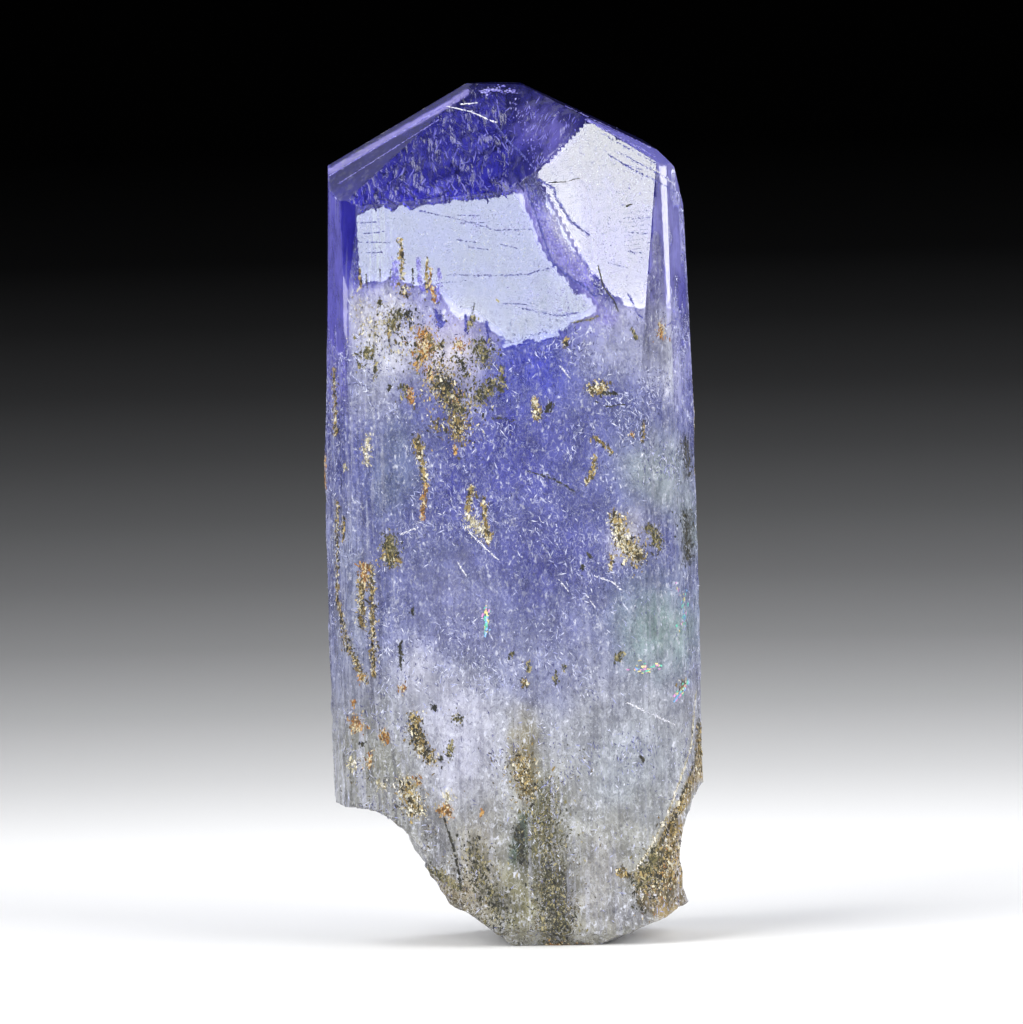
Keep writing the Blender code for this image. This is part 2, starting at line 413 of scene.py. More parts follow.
CLOUDS = [
    Cloud((2.3, 26.0), (0.9, 2.4), (0.74, 0.73, 0.92), 0.62, 1.0),
    Cloud((1.6, 29.6), (1.2, 1.4), (0.48, 0.45, 0.82), 0.50, 1.0),
    Cloud((0.9, 21.0), (1.4, 1.4), (0.30, 0.33, 0.92), 0.45, 1.0),
    Cloud((0.3, 18.2), (2.4, 1.9), (0.29, 0.30, 0.71), 0.55, 0.9),
    Cloud((-2.0, 16.4), (1.2, 1.6), (0.32, 0.33, 0.70), 0.55, 0.8),
    Cloud((1.2, 14.4), (2.2, 2.2), (0.29, 0.30, 0.65), 0.60, 0.9),
    Cloud((1.0, 10.2), (1.3, 2.0), (0.60, 0.62, 0.80), 0.66, 0.7),
    Cloud((-4.3, 17.4), (0.9, 1.6), (0.44, 0.50, 0.64), 0.60, 0.7),
    Cloud((-4.4, 22.2), (1.8, 1.7), (0.78, 0.78, 0.84), 0.85, 1.0),
    Cloud((-4.2, 23.7), (1.8, 1.2), (0.76, 0.76, 0.88), 0.78, 1.0),
    Cloud((-2.3, 22.9), (1.1, 0.9), (0.72, 0.70, 0.88), 0.70, 0.9),
    Cloud((4.4, 23.2), (1.7, 0.9), (0.74, 0.74, 0.90), 0.70, 0.9),
    Cloud((-5.0, 20.0), (1.2, 1.4), (0.68, 0.69, 0.78), 0.70, 0.8),
    Cloud((-1.9, 21.4), (1.5, 1.4), (0.86, 0.83, 0.88), 0.84, 0.95),
    Cloud((4.6, 21.6), (2.0, 1.5), (0.72, 0.73, 0.86), 0.66, 0.9),
    Cloud((5.4, 17.2), (1.5, 2.0), (0.64, 0.69, 0.70), 0.70, 0.9),
    Cloud((6.25, 23.2), (0.25, 1.3), (0.86, 0.86, 0.96), 0.80, 0.9),
    Cloud((6.5, 15.2), (0.5, 1.8), (0.58, 0.63, 0.60), 0.70, 0.8),
    Cloud((5.9, 21.8), (0.5, 2.2), (0.88, 0.89, 0.95), 0.85, 0.85),
    Cloud((4.3, 14.8), (0.8, 0.8), (0.80, 0.78, 0.80), 0.80, 0.8),
    Cloud((5.3, 11.2), (1.7, 2.0), (0.60, 0.70, 0.68), 0.72, 0.9),
    Cloud((-3.7, 9.9), (1.0, 1.6), (0.80, 0.80, 0.87), 0.88, 0.8),
    Cloud((-2.0, 12.4), (1.6, 1.6), (0.50, 0.51, 0.72), 0.66, 0.7),
    Cloud((-1.9, 7.6), (1.5, 2.4), (0.76, 0.76, 0.85), 0.84, 0.8),
    Cloud((4.2, 6.4), (2.0, 1.8), (0.67, 0.70, 0.75), 0.80, 0.7),
    Cloud((0.3, 6.6), (0.6, 1.8), (0.50, 0.46, 0.32), 0.88, 0.9),
    Cloud((0.9, 3.4), (0.8, 2.6), (0.36, 0.35, 0.23), 0.88, 1.0),
    Cloud((1.45, 1.6), (0.6, 2.0), (0.24, 0.22, 0.15), 0.95, 1.0),
    Cloud((0.1, 3.8), (0.30, 0.7), (0.18, 0.27, 0.20), 0.90, 0.9),
    Cloud((-0.3, 1.6), (0.6, 1.4), (0.50, 0.48, 0.31), 0.88, 0.9),
    Cloud((-1.5, 2.8), (0.8, 2.0), (0.62, 0.58, 0.50), 0.88, 0.8),
    Cloud((-2.7, 2.1), (0.9, 0.9), (0.62, 0.56, 0.44), 0.80, 0.9),
    Cloud((3.1, 1.7), (1.0, 1.6), (0.60, 0.59, 0.59), 0.84, 0.8),
    Cloud((4.3, 1.0), (0.7, 0.7), (0.50, 0.50, 0.54), 0.82, 0.7),
    Cloud((-5.2, 6.8), (1.3, 1.3), (0.54, 0.54, 0.49), 0.80, 0.9),
    Cloud((-3.0, 4.0), (0.55, 1.5), (0.46, 0.46, 0.48), 0.75, 0.85),
    Cloud((-5.9, 13.0), (0.8, 3.6), (0.62, 0.65, 0.75), 0.72, 0.7),
]

# The brown rock at the lower right, and the strip of it that runs up the right edge.
CRUST = [
    (5.8, 4.7), (6.3, 4.2), (6.3, 0.8), (5.2, 0.4), (4.5, 0.95), (4.2, 1.9), (4.1, 2.4), (4.6, 2.6),
    (5.1, 3.6),
]
CRUST_STRIP = [(6.9, 8.2), (6.75, 6.2), (6.3, 5.1), (5.8, 4.4)]
CRUST_COLOUR = (0.50, 0.43, 0.27)

# The most cloudy that the stone is where the shiny parts let the eye in, and how much darker it
# is where the bevels are worn.
CLEAR_CLOUD = 0.24
WORN_SHADE = 0.22


def linear(colour):
    """A colour as seen on a screen, turned into light."""
    seen = np.asarray(colour, float)
    return np.where(seen <= 0.04045, seen / 12.92, ((seen + 0.055) / 1.055) ** 2.4)


def tint(stone, share, colour, cloud):
    """Bring the stone's colour and cloudiness to others by a share at each point."""
    stone[0] += (colour - stone[0]) * share[:, None]
    stone[1] += (cloud - stone[1]) * share


def stone_colours(points, normals, front, depth):
    """The colour and cloudiness of the stone at each point. depth says how far a point lies
    inside the shiny parts of the front, which let the eye in."""
    clear = ramp(depth, 0.22, 0.45) * front
    dull = 1.0 - front * ramp(depth, -0.04, 0.06)
    wander = np.stack([rough_noise(points, 2.0, 101, 5), rough_noise(points, 2.0, 111, 5)], axis=1)
    place = picture_place(points) + wander * (0.35, 0.6)
    heights = [level.h for level in LEVELS]
    colour = np.stack(
        [np.interp(place[:, 1], heights, [level.colour[k] for level in LEVELS]) for k in range(3)],
        axis=1,
    )
    cloud = np.interp(place[:, 1], heights, [level.cloud for level in LEVELS])
    in_sight = 1.0 - 0.6 * ramp(normals[:, 1], -0.1, 0.3)
    stone = [colour, cloud]
    for spot in CLOUDS:
        away = (place - spot.middle) / spot.half
        share = np.exp(-1.1 * (away**2).sum(axis=1) ** 1.5) * spot.strength * in_sight
        tint(stone, share, spot.colour, spot.cloud)

    # The roof's front is frosted in upright streaks, and the foot is grainy like sugar.
    shown = picture_place(points)
    dark_roof = ramp(depth_inside(shown, DARK_ROOF), 0.0, 0.2) * ramp(-normals[:, 1], 0.0, 0.3) * dull
    streaks = rough_noise(points * (1.6, 1.6, 0.6), 0.9, 141, 4)
    tint(stone, ramp(streaks, 0.1, 1.1) * 0.6 * dark_roof, (0.46, 0.46, 0.76), 0.55)
    shade = ramp(streaks, 0.0, -0.9) * 0.7 * dark_roof
    colour += ((0.11, 0.09, 0.48) - colour) * shade[:, None]
    grainy = 0.05 * ramp(shown[:, 1], 24.0, 22.0) + 0.12 * ramp(shown[:, 1], 8.0, 3.0)
    colour *= 1.0 + (rough_noise(points, 0.45, 151, 2) * grainy)[:, None]

    # The broken ridge is lilac with healed cracks, and the narrow side faces are painted lighter: a painted
    # glow.
    distance, _ = near_path(place, RIDGE_CRACK)
    tint(stone, ramp(distance, 0.5, 0.1) * front, (0.60, 0.57, 0.90), 0.60)
    distance, _ = near_path(shown, ROOF_STRIP)
    tint(stone, ramp(distance, 0.15, 0.09) * (normals[:, 1] < 0.0), (0.64, 0.61, 0.92), 0.65)
    upper = ramp(place[:, 1], 18.0, 22.0)
    # Painted glow: faces that look to the right are painted a lighter lilac.
    right = ramp(normals[:, 0], 0.35, 0.6) * ramp(place[:, 1], 22.0, 25.0)
    right = np.maximum(right, ramp(normals[:, 0], 0.9, 0.97) * upper)
    tint(stone, right, (0.68, 0.67, 1.00), 0.50)
    colour *= 1.0 - WORN_SHADE * worn_patches(points, normals)[:, None]
    # Painted glow: faces that look to the left are painted a lighter lilac too.
    tint(stone, ramp(-normals[:, 0], 0.5, 0.9) * upper, (0.56, 0.54, 0.96), 0.48)
    cloud[:] = cloud * (1.0 - clear) + np.minimum(cloud, CLEAR_CLOUD) * clear

    # The stone is stained round its veins of grains.
    jitter = 0.10 * rough_noise(points, 0.4, 131, 3)
    for vein in VEINS:
        if vein.count < STAIN_COUNT or vein.spread > STAIN_SPREAD or vein.kind in UNSTAINED:
            continue
        turn = math.radians(vein.azimuth)
        across = points[:, 0] * math.cos(turn) + points[:, 1] * math.sin(turn) + jitter
        distance, _ = near_path(np.stack([across, shown[:, 1] + jitter], axis=1), vein.path)
        toward = normals[:, 0] * math.sin(turn) - normals[:, 1] * math.cos(turn)
        share = ramp(distance, 1.6 * vein.spread + 0.05, 0.2 * vein.spread) * STAIN_STRENGTH
        share *= toward > 0.3
        tint(stone, share, np.mean(GRAIN_COLOURS[vein.kind], axis=0), 0.9)

    # Brown rock sticks to the lower right.
    flat = shown + 0.12 * rough_noise(points, 0.5, 121, 3)[:, None]
    behind = ramp(points[:, 1], -4.6, -3.0)
    flat[:, 1] += behind * (1.2 * rough_noise(points, 3.0, 125, 4) + 0.35 * (points[:, 1] + 4.6))
    crust = ramp(depth_inside(flat, CRUST), -0.05, 0.1)
    strip, _ = near_path(flat, CRUST_STRIP)
    crust = np.maximum(crust, ramp(strip, 0.3, 0.15)) * ramp(points[:, 0], 3.5, 4.0)
    mottle = 1.0 + 0.25 * rough_noise(points, 0.7, 127, 3)
    tint(stone, crust, np.array(CRUST_COLOUR) * mottle[:, None], 1.0)
    return linear(colour), cloud


def paint(mesh, points, colour, cloud, shine, carved, sides):
    """Store the stone's colour, cloudiness and smoothness on its mesh, with where the roof is
    carved by etching and where the side faces lie."""
    place = picture_place(points)
    streaky = ramp(place[:, 0], -3.8, -5.0) * 0.8 + ramp(place[:, 1], 17.0, 8.0) * 0.5
    streaky = np.maximum(streaky, 0.55 * sides)
    whole = np.ones(len(points))
    for name, columns in (
        ("stone", (colour, cloud)),
        ("surface", (shine, carved, np.minimum(streaky, 1.0), whole)),
    ):
        layer = mesh.color_attributes.new(name, "FLOAT_COLOR", "POINT")
        layer.data.foreach_set("color", np.column_stack(columns).astype(np.float32).ravel())


# Materials

class Nodes:
    """Adds nodes to a material."""

    def __init__(self, name):
        self.material = bpy.data.materials.new(name)
        self.material.use_nodes = True
        self.tree = self.material.node_tree
        self.shader = self.tree.nodes["Principled BSDF"]
        self.output = self.tree.nodes["Material Output"]
        self.place = self.add("ShaderNodeTexCoord").outputs["Object"]

    def add(self, kind, **settings):
        """A new node with its settings."""
        node = self.tree.nodes.new(kind)
        for key, value in settings.items():
            setattr(node, key, value)
        return node

    def link(self, source, target):
        """Lead an output to an input."""
        self.tree.links.new(source, target)

    def stretched(self, scale):
        """Object places scaled for each axis."""
        mapping = self.add("ShaderNodeMapping")
        mapping.inputs["Scale"].default_value = scale
        self.link(self.place, mapping.inputs["Vector"])
        return mapping.outputs["Vector"]

    def noise(self, size, stretch=(1, 1, 1), detail=4.0, roughness=0.55, distortion=0.0):
        """Noise with features of a size in mm."""
        node = self.add("ShaderNodeTexNoise")
        node.inputs["Scale"].default_value = 1.0 / (size * MM)
        node.inputs["Detail"].default_value = detail
        node.inputs["Roughness"].default_value = roughness
        node.inputs["Distortion"].default_value = distortion
        self.link(self.stretched(stretch), node.inputs["Vector"])
        return node.outputs["Fac"]

    def span(self, value, low, high, out_low=0.0, out_high=1.0):
        """A value from low to high brought to out_low to out_high."""
        node = self.add("ShaderNodeMapRange", interpolation_type="SMOOTHSTEP")
        self.link(value, node.inputs["Value"])
        node.inputs["From Min"].default_value = low
        node.inputs["From Max"].default_value = high
        node.inputs["To Min"].default_value = out_low
        node.inputs["To Max"].default_value = out_high
        return node.outputs["Result"]

    def maths(self, operation, first, second):
        """Two values, each a number or an output, put together."""
        node = self.add("ShaderNodeMath", operation=operation)
        for socket, value in zip(node.inputs, (first, second)):
            if isinstance(value, (int, float)):
                socket.default_value = value
            else:
                self.link(value, socket)
        return node.outputs["Value"]

    def times(self, first, second):
        """Two values multiplied."""
        return self.maths("MULTIPLY", first, second)

    def larger(self, first, second):
        """The larger of two values."""
        return self.maths("MAXIMUM", first, second)

    def mix(self, share, first, second, blend="MIX"):
        """Two colours mixed by a share."""
        node = self.add("ShaderNodeMix", data_type="RGBA", blend_type=blend)
        for name, value in (("Factor", share), ("A", first), ("B", second)):
            socket = next(s for s in node.inputs if s.name == name and s.enabled)
            if isinstance(value, (int, float)):
                socket.default_value = value
            elif isinstance(value, tuple):
                socket.default_value = (*linear(value), 1.0)
            else:
                self.link(value, socket)
        return next(s for s in node.outputs if s.enabled)

    def line_at(self, field, level, width):
        """A thin wandering line where a field of noise is at a level."""
        away = self.maths("ABSOLUTE", self.maths("SUBTRACT", field, level), 0.0)
        return self.span(away, width, 0.0)

    def tone(self, value):
        """A grey of a brightness."""
        node = self.add("ShaderNodeCombineColor")
        for socket in node.inputs:
            self.link(value, socket)
        return node.outputs["Color"]

    def bump(self, height, depth):
        """Turn a height from 0 to 1 into relief of a depth in mm."""
        node = self.add("ShaderNodeBump")
        node.inputs["Strength"].default_value = 1.0
        node.inputs["Distance"].default_value = depth * MM
        self.link(height, node.inputs["Height"])
        return node.outputs["Normal"]


# How the stone bends light, and the colour and density of its absorption, for each metre.
STONE_IOR = 1.70
ABSORPTION_COLOUR = (0.26, 0.22, 0.86, 1.0)
ABSORPTION_DENSITY = 120.0


def stone_material():
    """Clear blue-violet stone that turns cloudy towards its foot."""
    made = Nodes("tanzanite")
    shader = made.shader
    stone = made.add("ShaderNodeAttribute", attribute_name="stone")
    surface = made.add("ShaderNodeSeparateColor")
    made.link(made.add("ShaderNodeAttribute", attribute_name="surface").outputs["Color"], surface.inputs[0])
    colour, cloud = stone.outputs["Color"], stone.outputs["Alpha"]
    shine, carved, streaky = surface.outputs[0], surface.outputs[1], surface.outputs[2]

    mottle = made.noise(0.8, (1, 1, 0.6), 5.0, 0.72)
    streaks = made.noise(0.2, (1, 1, 0.04), 2.0, 0.6)
    flecks = made.noise(0.13, (1, 1, 0.6), 2.0, 0.6)
    field = made.noise(0.18, (1, 1, 0.7), 1.0, 0.5, 0.5)
    strokes = made.noise(0.22, (1, 0.32, 0.32), 2.0, 0.62, 0.5)
    pale_lines = made.line_at(field, 0.46, 0.035)
    dark_lines = made.line_at(field, 0.58, 0.03)
    ragged = made.times(made.maths("ADD", mottle, flecks), 0.25)
    etched = made.span(made.maths("ADD", shine, ragged), 0.82, 0.68)

    shade = made.mix(1.0, colour, made.tone(made.span(mottle, 0.25, 0.75, 0.80, 1.20)), "MULTIPLY")
    pale_streak = made.times(made.span(streaks, 0.52, 0.66), made.times(streaky, 0.5))
    shade = made.mix(pale_streak, shade, (0.80, 0.81, 0.90))
    dark_share = made.larger(made.span(flecks, 0.38, 0.30), dark_lines)
    dark_share = made.larger(dark_share, made.times(made.span(streaks, 0.46, 0.36), streaky))
    dark_share = made.times(dark_share, made.times(etched, 0.65))
    # On the carved roof the strokes are painted darker where the bump is low and paler where it is high:
    # partly the etching's colour, partly painted shade and painted highlight of the raised strokes.
    stroke_colour_and_shade = made.times(made.span(strokes, 0.46, 0.34), carved)
    dark_share = made.larger(dark_share, stroke_colour_and_shade)
    shade = made.mix(dark_share, shade, made.mix(1.0, shade, (0.52, 0.52, 0.62), "MULTIPLY"))
    here = made.times(etched, made.span(mottle, 0.35, 0.65, 0.3, 0.8))
    pale_marks = made.larger(made.span(flecks, 0.58, 0.68), made.times(pale_lines, 0.6))
    # Painted highlight on the raised roof strokes, together with the etching's paler colour.
    stroke_colour_and_highlight = made.times(made.span(strokes, 0.58, 0.72, 0.0, 0.3), carved)
    pale_share = made.larger(made.times(pale_marks, here), stroke_colour_and_highlight)
    shade = made.mix(pale_share, shade, (0.90, 0.91, 0.97))
    made.link(shade, shader.inputs["Base Color"])

    milk = made.times(cloud, made.span(mottle, 0.28, 0.72, 0.84, 1.12))
    milk = made.larger(milk, made.times(pale_share, 1.2))
    made.link(made.maths("SUBTRACT", 1.0, milk), shader.inputs["Transmission Weight"])

    rough = made.times(etched, made.span(mottle, 0.35, 0.65, 0.16, 0.34))
    rough = made.maths("ADD", rough, made.times(carved, 0.08))
    rough = made.maths("ADD", rough, made.times(dark_lines, 0.12))
    made.link(made.maths("ADD", rough, 0.015), shader.inputs["Roughness"])

    raised = made.times(flecks, made.maths("ADD", etched, 0.03))
    raised = made.maths("ADD", raised, made.times(strokes, carved))
    made.link(made.bump(raised, 0.03), shader.inputs["Normal"])

    shader.inputs["IOR"].default_value = STONE_IOR
    volume = made.add("ShaderNodeVolumeAbsorption")
    volume.inputs["Color"].default_value = ABSORPTION_COLOUR
    volume.inputs["Density"].default_value = ABSORPTION_DENSITY
    made.link(volume.outputs["Volume"], made.output.inputs["Volume"])
    return made.material


def grain_material(name):
    """Small earthy grains, each with its own colour and a little mottled."""
    made = Nodes(name)
    colour = made.add("ShaderNodeAttribute", attribute_name="grain").outputs["Color"]
    mottle = made.noise(0.06, detail=3.0, roughness=0.7)
    made.link(
        made.mix(1.0, colour, made.tone(made.span(mottle, 0.35, 0.65, 0.75, 1.2)), "MULTIPLY"),
        made.shader.inputs["Base Color"],
    )
    made.link(made.span(mottle, 0.3, 0.7, 0.6, 0.35), made.shader.inputs["Roughness"])
    made.link(made.bump(made.noise(0.03, detail=3.0), 0.01), made.shader.inputs["Normal"])
    return made.material


# Things grown into the stone

def put_in_scene(name, data):
    """A new object in the scene."""
    made = bpy.data.objects.new(name, data)
    bpy.context.scene.collection.objects.link(made)
    return made


def new_piece(name, mesh, material):
    """Put a mesh in the scene as a piece of the crystal."""
    piece = put_in_scene(name, mesh)
    mesh.materials.append(material)
    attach(piece, "root")
    return piece


def surface_tree(mesh):
    """A tree for finding places on the finished crystal, in mm."""
    points = [Vector(p) for p in mesh_points(mesh)]
    faces = [tuple(face.vertices) for face in mesh.polygons]
    return BVHTree.FromPolygons(points, faces)


def seen_from(tree, azimuth, x, h):
    """The place and outward direction on the crystal that is seen at (x, h) from an azimuth."""
    start = Vector(h * UP_THE_VIEW - STAND_OFF * INTO_THE_VIEW)
    start.x = x
    turn = Matrix.Rotation(math.radians(azimuth), 3, "Z")
    place, normal, _, _ = tree.ray_cast(turn @ start, turn @ Vector(INTO_THE_VIEW))
    return place, normal


class Vein(NamedTuple):
    """Grains strewn along a path in (x, h), within a spread in mm. The view's azimuth says which
    side of the crystal they lie on."""

    kind: str
    path: list
    spread: float
    count: int
    size: float = 0.05
    azimuth: float = 0.0


def veins(rows, azimuth=0.0):
    """Veins seen from an azimuth. Each row has a kind, a path as x, h, x, h and so on, a spread, a
    count and sometimes a size."""
    return [
        Vein(kind, list(zip(path[::2], path[1::2])), *rest)._replace(azimuth=azimuth)
        for kind, path, *rest in rows
    ]


# How strongly a vein stains the stone round it. Veins of fewer grains than this, those strewn
# more widely than this, in mm, and those of these kinds leave no stain.
STAIN_STRENGTH = 0.3
STAIN_COUNT = 40
STAIN_SPREAD = 0.5
UNSTAINED = ("white", "lilac", "blue", "iridescent")

# The colours that the grains of each kind have.
GRAIN_COLOURS = {
    "rust": [(0.60, 0.40, 0.18), (0.78, 0.60, 0.34), (0.42, 0.30, 0.16), (0.84, 0.78, 0.64)],
    "ochre": [(0.50, 0.42, 0.24), (0.70, 0.61, 0.40), (0.32, 0.28, 0.17), (0.86, 0.83, 0.74),
              (0.15, 0.13, 0.09)],
    "olive": [(0.29, 0.28, 0.17), (0.47, 0.44, 0.29), (0.64, 0.60, 0.45), (0.18, 0.18, 0.12)],
    "dark": [(0.10, 0.10, 0.10), (0.17, 0.17, 0.13), (0.28, 0.27, 0.20)],
    "pale": [(0.80, 0.77, 0.66), (0.92, 0.90, 0.86), (0.60, 0.56, 0.44)],
    "white": [(0.90, 0.90, 0.95), (0.97, 0.97, 1.00)],
    "lilac": [(0.42, 0.40, 0.76), (0.52, 0.50, 0.84), (0.66, 0.65, 0.92)],
    "blue": [(0.20, 0.20, 0.55), (0.30, 0.31, 0.66), (0.42, 0.43, 0.76)],
    # The iridescent grains' colours are a painted sheen.
    "iridescent": [(0.45, 0.85, 0.75), (0.90, 0.62, 0.85), (0.92, 0.86, 0.60), (0.55, 0.75, 0.95)],
}

